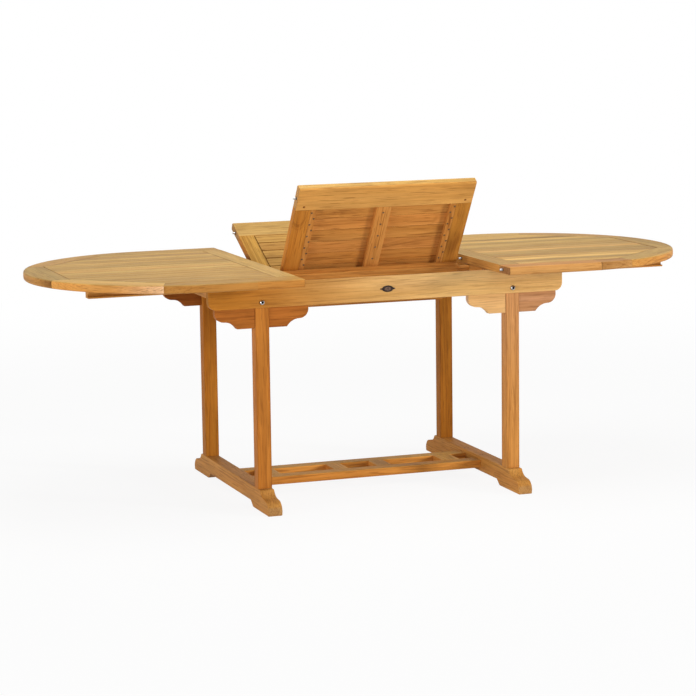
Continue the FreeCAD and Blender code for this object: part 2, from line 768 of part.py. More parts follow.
def swing_front(thing):
    """Turn a piece of the leaf's front half about the pivot, its outer edge upwards."""
    turn = "leaf_front_angle"
    thing.Placement = FreeCAD.Placement(FreeCAD.Vector(), FreeCAD.Rotation(-ALONG_X, number(turn)))
    bind(thing, "Placement.Rotation.Angle", turn)
    bind(thing, "Placement.Base.y", f"-pivot_reach + pivot_reach * cos({turn}) - {PIVOT_HEIGHT} * sin({turn})")
    bind(thing, "Placement.Base.z", f"{PIVOT_HEIGHT} - pivot_reach * sin({turn}) - {PIVOT_HEIGHT} * cos({turn})")


def swing_back(thing):
    """Carry a piece of the leaf's back half with the hinge, then tilt it, its outer edge upwards."""
    turn = "leaf_front_angle"
    tilt = "leaf_back_angle"
    rise = f"({HINGE_HEIGHT} - {PIVOT_HEIGHT})"
    hinge_y = f"-pivot_reach + pivot_reach * cos({turn}) + {rise} * sin({turn})"
    hinge_z = f"{PIVOT_HEIGHT} - pivot_reach * sin({turn}) + {rise} * cos({turn})"
    thing.Placement = FreeCAD.Placement(FreeCAD.Vector(), FreeCAD.Rotation(ALONG_X, number(tilt)))
    bind(thing, "Placement.Rotation.Angle", tilt)
    bind(thing, "Placement.Base.y", f"{hinge_y} + {HINGE_HEIGHT} * sin({tilt})")
    bind(thing, "Placement.Base.z", f"{hinge_z} - {HINGE_HEIGHT} * cos({tilt})")


SWINGS = {"front": swing_front, "back": swing_back}


def leaf_sockets(name, places):
    """Bores on the leaf's right edge that the right half's pins enter."""
    low = "leaf_half_length - pin_proud - 2 * fit_gap"
    return [pin_bore(f"{name}_socket_{i}", y, low, "leaf_half_length + overrun") for i, y in enumerate(places)]


def leaf_seats(name, places):
    """Bores on the leaf's left edge that hold its own pins."""
    high = "pin_buried - leaf_half_length + fit_gap"
    return [pin_bore(f"{name}_seat_{i}", y, "-leaf_half_length - overrun", high) for i, y in enumerate(places)]


def hinge_recesses(name, face):
    """Where the hinge plates and knuckles are let into the leaf's inner edge."""
    tools = []
    for side_name, side in SIDES.items():
        x_low = f"{side} * hinge_reach - hinge_length / 2 - fit_gap"
        length = "hinge_length + 2 * fit_gap"
        deep = "hinge_plate_proud + hinge_plate_thickness"
        plate = mirrored(
            rectangle("-overrun", deep, "table_height - hinge_plate_height", "table_height + overrun"), face, 1
        )
        tools.append(board(f"{name}_plate_{side_name}", "YZ_Plane", plate, x_low, length))
        knuckle = f"{name}_knuckle_{side_name}"
        tools.append(rod(knuckle, "0", HINGE_HEIGHT, "knuckle_radius + 2 * fit_gap", x_low, length))
    return tools


def leaf_half(face_name, face):
    """The framed boards of one half of the leaf, drawn flat and then swung into place."""
    swing = SWINGS[face_name]
    name = f"leaf_{face_name}"
    rail_inner = FIELD
    outer_y = "top_half_width"
    reach = "leaf_half_length"
    rail_path = mirrored(rectangle(f"-{reach}", reach, rail_inner, outer_y), 1, face)
    blank = board(name + "_rail_blank", "XY_Plane", rail_path, UNDER, "top_thickness")

    def on_rail_edge(edge):
        level = at_height(edge, number("table_height")) or at_height(edge, number(UNDER))
        return level and abs(abs(edge.CenterOfMass.y) - number("top_half_width")) < 0.01

    chamfer_edges(blank, "rim_arris", on_rail_edge)
    bores = leaf_sockets(name + "_rail", [f"{face} * {HALF_PINS[1]}"])
    bores += leaf_seats(name + "_rail", [f"{face} * {HALF_PINS[-1]}"])
    outer_rail = cut(name + "_outer_rail", blank, bores)

    hinge_path = mirrored(rectangle(f"-{reach}", reach, "leaf_edge_gap", HINGE_RAIL_OUTER), 1, face)
    hinge_blank = board(name + "_hinge_blank", "XY_Plane", hinge_path, UNDER, "top_thickness")
    hinge_rail = cut(name + "_hinge_rail", hinge_blank, hinge_recesses(name, face))

    pieces = [outer_rail, hinge_rail]
    inner_pin = [f"{face} * {INNER_PIN}"]
    for side_name, side in SIDES.items():
        stile_name = f"{name}_stile_{side_name}"
        path = mirrored(rectangle(f"{reach} - leaf_stile_width", reach, HINGE_RAIL_OUTER, rail_inner), side, face)
        stile = board(stile_name + "_blank", "XY_Plane", path, UNDER, "top_thickness")
        holes = leaf_sockets(stile_name, inner_pin) if side > 0 else leaf_seats(stile_name, inner_pin)
        pieces.append(cut(stile_name, stile, holes))
    inner_x = f"({reach} - leaf_stile_width)"
    slats = []
    for index in range(int(number("leaf_slat_count"))):
        near = f"{HINGE_RAIL_OUTER} + {index} * {SLAT_PITCH}"
        far = f"{near} + {SLAT_PITCH}"
        y_low = low_end(face, near, far)
        y_high = low_end(face, far, near)
        slats.append(slat(f"{name}_slat_{index}", y_low, y_high, f"-{inner_x}", f"2 * {inner_x}"))
    pieces.append(group(name + "_slats", slats))
    battens = []
    cleat = f"({inner_x} - leaf_cleat_width)"
    places = [(f"-{inner_x}", f"-{cleat}"), ("-batten_width / 2", "batten_width / 2"), (cleat, inner_x)]
    for index, (low, high) in enumerate(places):
        path = mirrored(rectangle(low, high, HINGE_RAIL_OUTER, rail_inner), 1, face)
        batten_name = f"{name}_batten_{index}"
        battens.append(board(batten_name, "XY_Plane", path, UNDER, "top_thickness - slat_thickness"))
    pieces.append(group(name + "_battens", battens))
    pins = []
    for place, pin_reach in (("outer", HALF_PINS[-1]), ("inner", INNER_PIN)):
        pins.append(pin(f"{name}_pin_{place}", f"{face} * {pin_reach}", f"-{reach}"))
    pieces.append(group(name + "_pins", pins))
    for piece in pieces:
        swing(piece)
        node(piece, piece.Name)


def leaf_pivot_bar():
    """The bar under the leaf's front half, with a round stub at each end that turns in the pivot rails."""
    section = chamfered(
        "-pivot_reach - pivot_bar_width / 2", "-pivot_reach + pivot_bar_width / 2",
        f"{UNDER} - pivot_bar_depth", UNDER, "leg_chamfer",
    )
    bar = board("pivot_bar_body", "YZ_Plane", section, "-leaf_half_length", "2 * leaf_half_length")
    stub_length = "2 * (leaf_half_length + pivot_stub_length)"
    start = "-leaf_half_length - pivot_stub_length"
    stub = rod("pivot_bar_stub", "-pivot_reach", PIVOT_HEIGHT, "pivot_stub_radius", start, stub_length)
    whole = fuse("leaf_pivot_bar", [bar, stub])
    swing_front(whole)
    node(whole, "leaf_pivot_bar")


def hinge(face_name, face):
    """The butt hinges' leaves of one half: the front ones hold the pin, the back ones turn on it."""
    third = "hinge_length / 3"
    foot_level = "table_height - hinge_plate_height"
    shoulder = f"{HINGE_HEIGHT} - knuckle_radius - fit_gap"
    start = low_end(-face, "hinge_plate_proud", "hinge_plate_proud + hinge_plate_thickness")
    leaves = []
    for side_name, side in SIDES.items():
        name = f"hinge_{face_name}_{side_name}"
        low = f"{side} * hinge_reach - hinge_length / 2"
        high = f"{side} * hinge_reach + hinge_length / 2"
        if face_name == "front":
            inner_low = f"{low} + {third}"
            inner_high = f"{high} - {third}"
            path = [
                (low, foot_level), (high, foot_level), (high, HINGE_HEIGHT), (inner_high, HINGE_HEIGHT),
                (inner_high, shoulder), (inner_low, shoulder), (inner_low, HINGE_HEIGHT), (low, HINGE_HEIGHT),
            ]
            plate = board(name + "_plate", "XZ_Plane", path, start, "hinge_plate_thickness")
            first = rod(name + "_first", "0", HINGE_HEIGHT, "knuckle_radius", low, third)
            last = rod(name + "_last", "0", HINGE_HEIGHT, "knuckle_radius", inner_high, third)
            pin_bar = rod(name + "_pin", "0", HINGE_HEIGHT, "hinge_pin_radius", low, "hinge_length")
            leaves.append(fuse(name, [plate, first, last, pin_bar]))
        else:
            inner_low = f"{low} + {third} + fit_gap"
            inner_high = f"{high} - {third} - fit_gap"
            path = [
                (low, foot_level), (high, foot_level), (high, shoulder), (inner_high, shoulder),
                (inner_high, HINGE_HEIGHT), (inner_low, HINGE_HEIGHT), (inner_low, shoulder), (low, shoulder),
            ]
            plate = board(name + "_plate", "XZ_Plane", path, start, "hinge_plate_thickness")
            knuckle_length = f"{third} - 2 * fit_gap"
            knuckle = rod(name + "_knuckle", "0", HINGE_HEIGHT, "knuckle_radius", inner_low, knuckle_length)
            bore = rod(name + "_bore", "0", HINGE_HEIGHT, "hinge_pin_radius + fit_gap", low, "hinge_length")
            leaves.append(cut(name, fuse(name + "_joined", [plate, knuckle]), [bore]))
    whole = group(f"hinge_{face_name}", leaves)
    SWINGS[face_name](whole)
    node(whole, f"hinge_{face_name}")


# The frame that stands on the floor.
for side_name, side in SIDES.items():
    foot(side_name, side)
    for face_name, face in FACES.items():
        leg(face_name, face, side_name, side)
        bracket_pair(face_name, face, side_name, side)
    end_rail(side_name, side)
    pivot_rail(side_name, side)
for face_name, face in FACES.items():
    apron(face_name, face)
    stretcher(face_name, face)
slide_guides()
stretcher_rungs()
apron_bolts()

# The two halves of the top.
for side_name, side in SIDES.items():
    for face_name, face in FACES.items():
        rim(face_name, face, side_name, side)
        corner(face_name, face, side_name, side)
    end_board(side_name, side)
    inner_rail(side_name, side)
    half_field(side_name, side)
    runners(side_name, side)
half_pins()

# The leaf.
for face_name, face in FACES.items():
    leaf_half(face_name, face)
    hinge(face_name, face)
leaf_pivot_bar()

doc.recompute()
for thing in doc.Objects:
    if "Invalid" in thing.State or "Error" in thing.State:
        raise RuntimeError(f"{thing.Label} failed: {thing.State}")
os.makedirs("parts", exist_ok=True)
for thing in nodes:
    if thing.Shape.isNull() or not thing.Shape.isValid():
        raise RuntimeError(f"{thing.Label} has no valid shape")
for thing in nodes:
    thing.Shape.exportStep(f"parts/{thing.Label}.step")
print(len(nodes), "nodes")
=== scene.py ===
import json
import math
import random
from functools import partial

import bmesh
import bpy
from mathutils import Matrix, Vector
from mathutils.bvhtree import BVHTree

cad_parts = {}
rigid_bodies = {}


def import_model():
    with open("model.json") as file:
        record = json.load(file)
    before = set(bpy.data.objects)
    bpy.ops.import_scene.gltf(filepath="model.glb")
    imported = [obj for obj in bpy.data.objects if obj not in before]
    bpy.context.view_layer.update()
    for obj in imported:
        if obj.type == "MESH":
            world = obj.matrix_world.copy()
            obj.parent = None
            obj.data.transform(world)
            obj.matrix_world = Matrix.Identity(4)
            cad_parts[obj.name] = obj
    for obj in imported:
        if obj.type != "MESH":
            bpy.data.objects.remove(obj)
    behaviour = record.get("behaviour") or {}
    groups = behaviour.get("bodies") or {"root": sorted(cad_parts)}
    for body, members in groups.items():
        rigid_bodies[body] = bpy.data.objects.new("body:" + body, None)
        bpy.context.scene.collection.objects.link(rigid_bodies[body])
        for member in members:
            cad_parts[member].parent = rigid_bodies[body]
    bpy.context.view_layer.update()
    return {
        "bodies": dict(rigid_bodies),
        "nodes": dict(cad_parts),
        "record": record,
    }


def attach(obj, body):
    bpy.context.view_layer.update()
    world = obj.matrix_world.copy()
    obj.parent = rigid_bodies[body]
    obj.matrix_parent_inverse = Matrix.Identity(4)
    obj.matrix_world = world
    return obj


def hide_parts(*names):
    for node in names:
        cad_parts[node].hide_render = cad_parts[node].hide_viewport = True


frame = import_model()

# Feet
# Two sled feet, each sawn from one teak plank, with an ogee at both ends and a raised middle.
# Every arris is sanded round by hand and the wood is oiled, which leaves a soft satin gloss.
MM = 0.001
ALONG_X, ALONG_Y, ALONG_Z = Vector((1, 0, 0)), Vector((0, 1, 0)), Vector((0, 0, 1))


def colour(red, green, blue):
    """A colour as it is seen on a screen, 0 to 255, as the linear values a shader takes."""
    return tuple(((c / 255 + 0.055) / 1.055) ** 2.4 for c in (red, green, blue)) + (1.0,)


def wood(pale, ripe, dark):
    """The colours of a plank, as seen on a screen: its pale growth, its ripe growth and its dark lines."""
    return {"Pale": colour(*pale), "Ripe": colour(*ripe), "Dark": colour(*dark)}


def feed(tree, inputs, values):
    """Fills inputs of a node: a value is the output that feeds the input, or a constant."""
    for key, value in values.items():
        if isinstance(value, bpy.types.NodeSocket):
            tree.links.new(value, inputs[key])
        else:
            inputs[key].default_value = value


def add_node(tree, kind, values=None, **settings):
    """The outputs of a new node, after its settings are made and its inputs filled."""
    node = tree.nodes.new(kind)
    for name, setting in settings.items():
        setattr(node, name, setting)
    feed(tree, node.inputs, values or {})
    return node.outputs


def math_node(tree, operation, first, second=None, clamp=False):
    values = {0: first} if second is None else {0: first, 1: second}
    return add_node(tree, "ShaderNodeMath", values, operation=operation, use_clamp=clamp)[0]


def arithmetic(tree):
    """Functions that add the product, the sum and the difference of two values to a tree."""
    return [partial(math_node, tree, operation) for operation in ("MULTIPLY", "ADD", "SUBTRACT")]


def stretched(tree, place, cells):
    """Board coordinates for a texture with so many cells in a metre along the grain and across it."""
    along, across = cells
    values = {0: place, 1: (along, across, across)}
    return add_node(tree, "ShaderNodeVectorMath", values, operation="MULTIPLY")[0]


def noise(tree, place, cells, detail=2.0, roughness=0.5, distortion=0.0):
    values = {"Vector": stretched(tree, place, cells), "Scale": 1.0, "Detail": detail,
              "Roughness": roughness, "Distortion": distortion}
    return add_node(tree, "ShaderNodeTexNoise", values)[0]


def spread(tree, value, low, high, to_low=0.0, to_high=1.0):
    """The part of a value between low and high, eased to run from to_low to to_high."""
    values = {"Value": value, "From Min": low, "From Max": high, "To Min": to_low, "To Max": to_high}
    return add_node(tree, "ShaderNodeMapRange", values, interpolation_type="SMOOTHSTEP")["Result"]


def mixed(tree, share, first, second, blend="MIX"):
    """A colour mix: share is a socket or a number, the colours are sockets or tuples."""
    values = {0: share, 6: first, 7: second}
    return add_node(tree, "ShaderNodeMix", values, data_type="RGBA", blend_type=blend)[2]


def toned(tree, share, tint, tone):
    """A colour with a share of it multiplied by a tone."""
    return mixed(tree, share, tint, mixed(tree, 1.0, tint, tone, "MULTIPLY"))


def node_group(name, kind, inputs, outputs):
    """An empty node group with named sockets: the group, what it is given and what it puts out."""
    tree = bpy.data.node_groups.new(name, kind)
    for in_out, sockets in (("INPUT", inputs), ("OUTPUT", outputs)):
        for label, socket in sockets:
            tree.interface.new_socket(label, in_out=in_out, socket_type="NodeSocket" + socket)
    return tree, tree.nodes.new("NodeGroupInput").outputs, tree.nodes.new("NodeGroupOutput").inputs


SURFACE = [("Color", "Color"), ("Roughness", "Float"), ("Height", "Float")]
GRAIN_CELLS = {  # in a metre, along the grain and across it
    "knot": (3.2, 11.0), "warp": (1.3, 7.0), "band": (0.8, 12.0), "streak": (2.6, 110.0),
    "fibre": (8.0, 300.0), "dash": (13.0, 300.0), "pore": (55.0, 1500.0), "cloud": (5.0, 28.0),
}
LOG_REACH = (7.3, 3.1, 5.7)  # boards are cut from a log this large, in metres
LINES_IN_A_METRE, LINE_LEAN = 210.0, (0.82, 0.57)  # growth lines, and how they lie in the board
WARP_DEPTH, SWIRL_DEPTH = 0.034, 0.012  # how far the lines wander, in metres
# the straw tint on faces that look up is partly bleaching and partly a painted sheen of light from above
ROSY, STRAW_AND_SHEEN, RUBBED = (1.0, 0.82, 1.0, 1), (0.93, 1.22, 1.56, 1), (1.14, 1.12, 1.08, 1)
# the grime tint darkens dirty joints and also paints shade into the slats' gaps and ends
SAPWOOD, GRIME_AND_SHADE_TINT, END_TINT = (1.5, 2.33, 6.6, 1), (0.30, 0.30, 0.32, 1), (0.86, 0.98, 1.5, 1)
TONE_STEP = 0.22  # a board with a tone of 1 is so much lighter
PLAIN_ROUGHNESS = 0.46
BLEACH_AND_SHEEN_REACH, END_REACH = (0.25, 0.95), (0.80, 0.96)  # how squarely a face looks up, or along the grain


def teak_grain():
    """The grain of one teak board: a surface from coordinates with X along the grain."""
    numbers = ("Board", "Tone", "Rose", "Arris", "Grime", "End Grain", "Sunned", "Figure", "Knots")
    inputs = [("Vector", "Vector")] + [(name, "Float") for name in numbers]
    inputs += [(name, "Color") for name in ("Pale", "Ripe", "Dark", "End Tint")]
    tree, given, result = node_group("teak_grain", "ShaderNodeTree", inputs, SURFACE)
    times, plus, minus = arithmetic(tree)

    # each board is cut from another place in the log
    shift = {axis: times(given["Board"], reach) for axis, reach in zip("XYZ", LOG_REACH)}
    shift = add_node(tree, "ShaderNodeCombineXYZ", shift)[0]
    place = add_node(tree, "ShaderNodeVectorMath", {0: given["Vector"], 1: shift})[0]

    # a few small knots, drawn out along the board, with the grain swirling round them
    cells = stretched(tree, place, GRAIN_CELLS["knot"])
    knots = add_node(tree, "ShaderNodeTexVoronoi", {"Scale": 1.0, "Vector": cells})
    chance = add_node(tree, "ShaderNodeSeparateColor", {0: knots["Color"]})[0]
    chosen = math_node(tree, "LESS_THAN", chance, given["Knots"])
    knot = times(spread(tree, knots["Distance"], 0.16, 0.03), chosen)
    swirl = times(spread(tree, knots["Distance"], 0.55, 0.05), chosen)

    # growth lines: the contour lines of a warped field, so they run straight with a few tall arches
    apart = add_node(tree, "ShaderNodeSeparateXYZ", {0: place})
    warp = minus(noise(tree, place, GRAIN_CELLS["warp"], 1.0), 0.5)
    field = plus(times(apart[1], LINE_LEAN[0]), times(apart[2], LINE_LEAN[1]))
    field = plus(field, times(warp, WARP_DEPTH))
    field = plus(field, times(swirl, SWIRL_DEPTH))
    values = {"W": field, "Scale": LINES_IN_A_METRE, "Detail": 3.0, "Roughness": 0.65}
    lines = add_node(tree, "ShaderNodeTexNoise", values, noise_dimensions="1D")[0]
    line = spread(tree, lines, 0.46, 0.74)

    # broad bands, streaks, fibres, the short dark dashes of open vessels, and pores
    band = spread(tree, noise(tree, place, GRAIN_CELLS["band"], 2.0, 0.5, 0.2), 0.32, 0.70)
    streak = noise(tree, place, GRAIN_CELLS["streak"], 3.0, 0.6)
    fibre = noise(tree, place, GRAIN_CELLS["fibre"], 3.0, 0.6)
    dash = spread(tree, noise(tree, place, GRAIN_CELLS["dash"], 1.0, 0.5), 0.58, 0.66)
    pore = spread(tree, noise(tree, place, GRAIN_CELLS["pore"], 1.0), 0.60, 0.74)

    # the colour: pale to ripe, darkened by each mark, then changed by bleaching with a painted sheen, wear,
    # dirt and painted shade
    shade = plus(times(band, 0.6), times(spread(tree, streak, 0.30, 0.70), 0.35), clamp=True)
    tint = mixed(tree, shade, given["Pale"], given["Ripe"])
    depth = times(times(line, given["Figure"]), spread(tree, streak, 0.30, 0.70, 0.35, 1.2))
    for share in (
        depth, times(spread(tree, streak, 0.52, 0.74), 0.14), times(spread(tree, fibre, 0.42, 0.80), 0.22),
        times(dash, given["Figure"]), times(pore, 0.22), times(swirl, 0.25), times(knot, 0.8),
    ):
        tint = mixed(tree, share, tint, given["Dark"])
    rubbed = times(given["Arris"], spread(tree, fibre, 0.35, 0.65, 0.15, 0.5))
    for share, tone in ((given["Rose"], ROSY), (given["Sunned"], STRAW_AND_SHEEN),
                        (given["End Grain"], given["End Tint"]), (rubbed, RUBBED)):
        tint = toned(tree, share, tint, tone)
    # dirt in the joints, and painted shade in the gaps and at the ends of the slats
    dirt_and_shade = mixed(tree, 1.0, given["Dark"], GRIME_AND_SHADE_TINT, "MULTIPLY")
    tint = mixed(tree, times(given["Grime"], 0.85), tint, dirt_and_shade)

    # boards of one log differ in lightness, and each is a little cloudy
    cloud = spread(tree, noise(tree, place, GRAIN_CELLS["cloud"], 2.0), 0.3, 0.7, 0.92, 1.08)
    lightness = plus(times(given["Tone"], TONE_STEP), cloud)
    values = {"Saturation": 1.0, "Value": lightness, "Color": tint}
    tint = add_node(tree, "ShaderNodeHueSaturation", values)[0]

    rough = plus(times(fibre, 0.16), PLAIN_ROUGHNESS)
    rough = plus(rough, times(pore, 0.12))
    rough = plus(rough, times(given["End Grain"], 0.14))
    rough = minus(rough, times(rubbed, 0.12), clamp=True)
    height = minus(times(fibre, 0.6), times(pore, 0.9))
    height = minus(height, times(line, 0.35))
    height = minus(height, times(knot, 0.5))
    feed(tree, result, {"Color": tint, "Roughness": rough, "Height": height})
    return tree


TEAK_GRAIN = teak_grain()


def surface_of(name):
    """A new material, its node tree and its Principled BSDF."""
    material = bpy.data.materials.new(name)
    material.use_nodes = True
    return material, material.node_tree, material.node_tree.nodes["Principled BSDF"]


def attribute_of(tree, name):
    return add_node(tree, "ShaderNodeAttribute", attribute_name=name)["Fac"]


def facing(tree, normal, way):
    """How squarely a face looks one way: 1 straight along it, 0 across it, -1 straight against it."""
    values = {0: normal, 1: way}
    return add_node(tree, "ShaderNodeVectorMath", values, operation="DOT_PRODUCT")["Value"]


def dress(tree, shader, tint, pattern, strength, depth):
    """Feeds a shader with a colour, and with a pattern's roughness and its height as a bump."""
    values = {"Strength": strength, "Distance": depth, "Height": pattern["Height"]}
    bump = add_node(tree, "ShaderNodeBump", values)[0]
    feed(tree, shader.inputs, {"Base Color": tint, "Roughness": pattern["Roughness"], "Normal": bump})


def teak(name, along, plank, figure, knots, upper=None, ends=END_REACH, end_tint=END_TINT, sapwood=None):
    """Oiled teak with the grain along a direction of the piece.

    figure is how strong its dark lines are, and knots the share of its cells that hold a knot. A face
    that looks towards upper is paled to straw, partly bleaching and partly a painted sheen of light
    from above. ends says how squarely a face crosses the grain before it starts to show end grain,
    and when it shows only that, tinted by end_tint. sapwood is where along the grain paler sapwood starts,
    and where it is full."""
    material, tree, shader = surface_of("teak_" + name)
    where = add_node(tree, "ShaderNodeTexCoord")
    turn = along.rotation_difference(ALONG_X).to_euler()
    place = add_node(tree, "ShaderNodeMapping", {"Vector": where["Object"], "Rotation": turn})[0]
    end = spread(tree, math_node(tree, "ABSOLUTE", facing(tree, where["Normal"], along)), *ends)
    values = {"Vector": place, "End Grain": end, "Figure": figure, "Knots": knots, "End Tint": end_tint}
    values.update(plank)
    for attribute in ("board", "tone", "rose", "arris", "grime"):
        values[attribute.title()] = attribute_of(tree, attribute)
    if upper is not None:
        values["Sunned"] = spread(tree, facing(tree, where["Normal"], upper), *BLEACH_AND_SHEEN_REACH)
    grain = add_node(tree, "ShaderNodeGroup", values, node_tree=TEAK_GRAIN)
    tint = grain["Color"]
    if sapwood is not None:
        share = spread(tree, add_node(tree, "ShaderNodeSeparateXYZ", {0: place})[0], *sapwood)
        if upper is not None:
            share = math_node(tree, "MULTIPLY", share, math_node(tree, "SUBTRACT", 1.0, values["Sunned"]))
        tint = toned(tree, share, tint, SAPWOOD)
    dress(tree, shader, tint, grain, strength=0.35, depth=0.35 * MM)
    shader.inputs["Specular IOR Level"].default_value = 0.08
    return material


def surfaces_of(body):
    """A search tree for each CAD board of a body, to find where boards meet."""
    trees = {}
    for name in frame["record"]["behaviour"]["bodies"][body]:
        mesh = frame["nodes"][name].data
        points, faces = [v.co for v in mesh.vertices], [p.vertices for p in mesh.polygons]
        trees[name] = BVHTree.FromPolygons(points, faces)
    return trees


BOARDS_OF = {body: surfaces_of(body) for body in frame["bodies"]}
WELD, CUT_REACH, MEETING = 0.01 * MM, 0.001 * MM, 0.3 * MM  # nearer than this, things count as one
FLAT, SHARP, CREASE = math.radians(0.6), math.radians(28), math.radians(50)
JOINT_EASE, SHORT_EDGE = 0.4 * MM, 2.4  # an edge under 2.4 rounds long stays crisp
RUBBED_EDGE, DIRTY_JOINT = (1.0, 0.0), (0.01, 0.7)  # how worn an eased edge is, and how dirty
TONE_RANGE, ROSE_RANGE = (-0.5, 0.5), (-0.6, 0.5)  # for boards that are given no tones


def welded(node):
    """A CAD node as one form, with the corners of its loose triangles merged."""
    form = bmesh.new()
    form.from_mesh(frame["nodes"][node].data)
    bmesh.ops.remove_doubles(form, verts=form.verts, dist=WELD)
    return form


def islands(items, near):
    """The separate groups that linked items make; near gives an item's neighbours."""
    unseen, groups = set(items), []
    while unseen:
        start = min(unseen, key=lambda item: item.index)
        unseen.remove(start)
        group, queue = [start], [start]
        while queue:
            for item in near(queue.pop()):
                if item in unseen:
                    unseen.remove(item)
                    group.append(item)
                    queue.append(item)
        groups.append(group)
    return groups


def middle_of(faces):
    """The middle of some faces to the millimetre, to put lengths of wood in order."""
    middle = sum((f.calc_center_bounds() for f in faces), Vector()) / len(faces)
    return tuple(round(x, 3) for x in middle)


def as_mesh(form, name, crease=None):
    """The form as a mesh, shaded smooth up to an angle if one is given; the form is used up."""
    if crease is not None:
        for face in form.faces:
            face.smooth = True
        for edge in form.edges:
            edge.smooth = edge.calc_face_angle(0) < crease
    mesh = bpy.data.meshes.new(name)
    form.to_mesh(mesh)
    form.free()
    return mesh


def in_scene(name, data):
    """A new object, linked to the scene."""
    made = bpy.data.objects.new(name, data)
    bpy.context.scene.collection.objects.link(made)
    return made


def evaluated(helper, name):
    """The plain mesh that a helper's modifier makes; the modifier and the helper are removed."""
    graph = bpy.context.evaluated_depsgraph_get()
    made = bpy.data.meshes.new_from_object(helper.evaluated_get(graph), depsgraph=graph)
    helper.modifiers.clear()
    bpy.data.objects.remove(helper)
    made.name = name
    return made


def add_piece(name, mesh, body, stands_for=()):
    """A finished piece, which rides on a body and may stand for CAD nodes."""
    piece = in_scene(name, mesh)
    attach(piece, body)
    if stands_for:
        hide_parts(*stands_for)


def board(node, body, material, arris=1.5 * MM, steps=2, glue_line=None, tones=None):
    """A CAD board, or a group of like boards, with its free edges rounded and its joints left crisp.

    glue_line is where along the table one length of wood is glued to the next. tones gives each
    length, or each board of a group, its lightness and its rose, in the order of their middles."""
    form = welded(node)
    bmesh.ops.dissolve_limit(form, angle_limit=FLAT, verts=form.verts, edges=form.edges)
    if glue_line is not None:
        bmesh.ops.bisect_plane(form, geom=form.verts[:] + form.edges[:] + form.faces[:], dist=CUT_REACH,
                               plane_co=(glue_line, 0, 0), plane_no=ALONG_X)
    layer = {name: form.faces.layers.float.new(name) for name in ("board", "tone", "rose", "arris", "grime")}
    lengths = islands(form.faces, lambda face: [f for edge in face.edges for f in edge.link_faces])
    if glue_line is not None:
        lengths = [[f for f in faces if (f.calc_center_median().x > glue_line) == beyond]
                   for faces in lengths for beyond in (False, True)]
    chance = random.Random(node)
    for count, faces in enumerate(sorted(lengths, key=middle_of)):
        offset, lightness = chance.random(), chance.uniform(*TONE_RANGE)
        rose = max(0.0, chance.uniform(*ROSE_RANGE))
        if tones is not None:
            lightness, rose = tones[count % len(tones)]
        for face in faces:
            face[layer["board"]], face[layer["tone"]], face[layer["rose"]] = offset, lightness, rose
    others = [tree for other, tree in BOARDS_OF[body].items() if other != node]

    def meets_another(edge):
        middle = (edge.verts[0].co + edge.verts[1].co) / 2
        return any(tree.find_nearest(middle, MEETING)[0] is not None for tree in others)

    for ease, at_joint in ((arris, False), (JOINT_EASE, True)):
        chosen = [
            e for e in form.edges
            if len(e.link_faces) == 2 and e.is_convex and e.calc_face_angle(0) > SHARP
            and (meets_another(e) or e.calc_length() < SHORT_EDGE * ease) == at_joint
            and not any(f[layer["arris"]] > 0 for f in e.link_faces)
        ]
        if chosen:
            made = bmesh.ops.bevel(form, geom=chosen, offset=ease, offset_type="OFFSET", affect="EDGES",
                                   profile_type="SUPERELLIPSE", profile=0.5,
                                   segments=1 if at_joint else steps,
                                   clamp_overlap=False, material=-1, loop_slide=True)
            for face in made["faces"]:
                face[layer["arris"]], face[layer["grime"]] = DIRTY_JOINT if at_joint else RUBBED_EDGE
    name = node + "_wood"
    helper = in_scene(name + "_shading", as_mesh(form, name, CREASE))
    helper.modifiers.new("flat faces stay flat", "WEIGHTED_NORMAL").keep_sharp = True
    mesh = evaluated(helper, name)
    mesh.materials.clear()
    mesh.materials.append(material)
    add_piece(name, mesh, body, [node])


FRAME_DARK = (112, 60, 20)
FRAME_WOOD = wood((202, 147, 75), (184, 122, 53), FRAME_DARK)
FRAME_ACROSS = teak("frame_across", ALONG_Y, FRAME_WOOD, figure=0.4, knots=0.06)
for node, tone in (("foot_left", -0.25), ("foot_right", -0.1)):
    board(node, "frame", FRAME_ACROSS, arris=2.5 * MM, tones=[(tone, 0.0)])

# Legs
# Four teak posts that stand on the feet and are lapped behind the aprons, planed square, with their
# long edges eased. The front right one is from a paler plank, the back pair from a browner one.
LEG_WOOD = wood((198, 129, 55), (177, 104, 36), FRAME_DARK)
PALE_LEG_WOOD = wood((203, 141, 71), (185, 119, 53), FRAME_DARK)
BACK_LEG_WOOD = wood((199, 130, 47), (178, 105, 30), FRAME_DARK)
LEG_TEAK = teak("frame_upright", ALONG_Z, LEG_WOOD, figure=0.38, knots=0.08)
PALE_LEG_TEAK = teak("tan_upright", ALONG_Z, PALE_LEG_WOOD, figure=0.38, knots=0.08, sapwood=(0.1, 1.9))
BACK_LEG_TEAK = teak("back_upright", ALONG_Z, BACK_LEG_WOOD, figure=0.38, knots=0.08)
for node, plank, tone in (
    ("leg_front_left", LEG_TEAK, -0.15), ("leg_back_left", BACK_LEG_TEAK, -0.8),
    ("leg_front_right", PALE_LEG_TEAK, -0.05), ("leg_back_right", BACK_LEG_TEAK, -1.45),
):
    board(node, "frame", plank, arris=2.2 * MM, tones=[(tone, 0.0)])

# Stretcher
# Two long teak rails between the feet, held apart by four flat rungs, so it looks like a ladder.
# The rails are dowelled to the feet. Faces of rails and rungs that look up are paled, partly bleaching and
# partly a painted sheen, and all are lightened with painted light.
STRETCHER_WOOD = wood((204, 142, 68), (186, 118, 48), FRAME_DARK)
STRETCHER_TEAK = teak("stretcher", ALONG_X, STRETCHER_WOOD, figure=0.42, knots=0.08, upper=ALONG_Z)
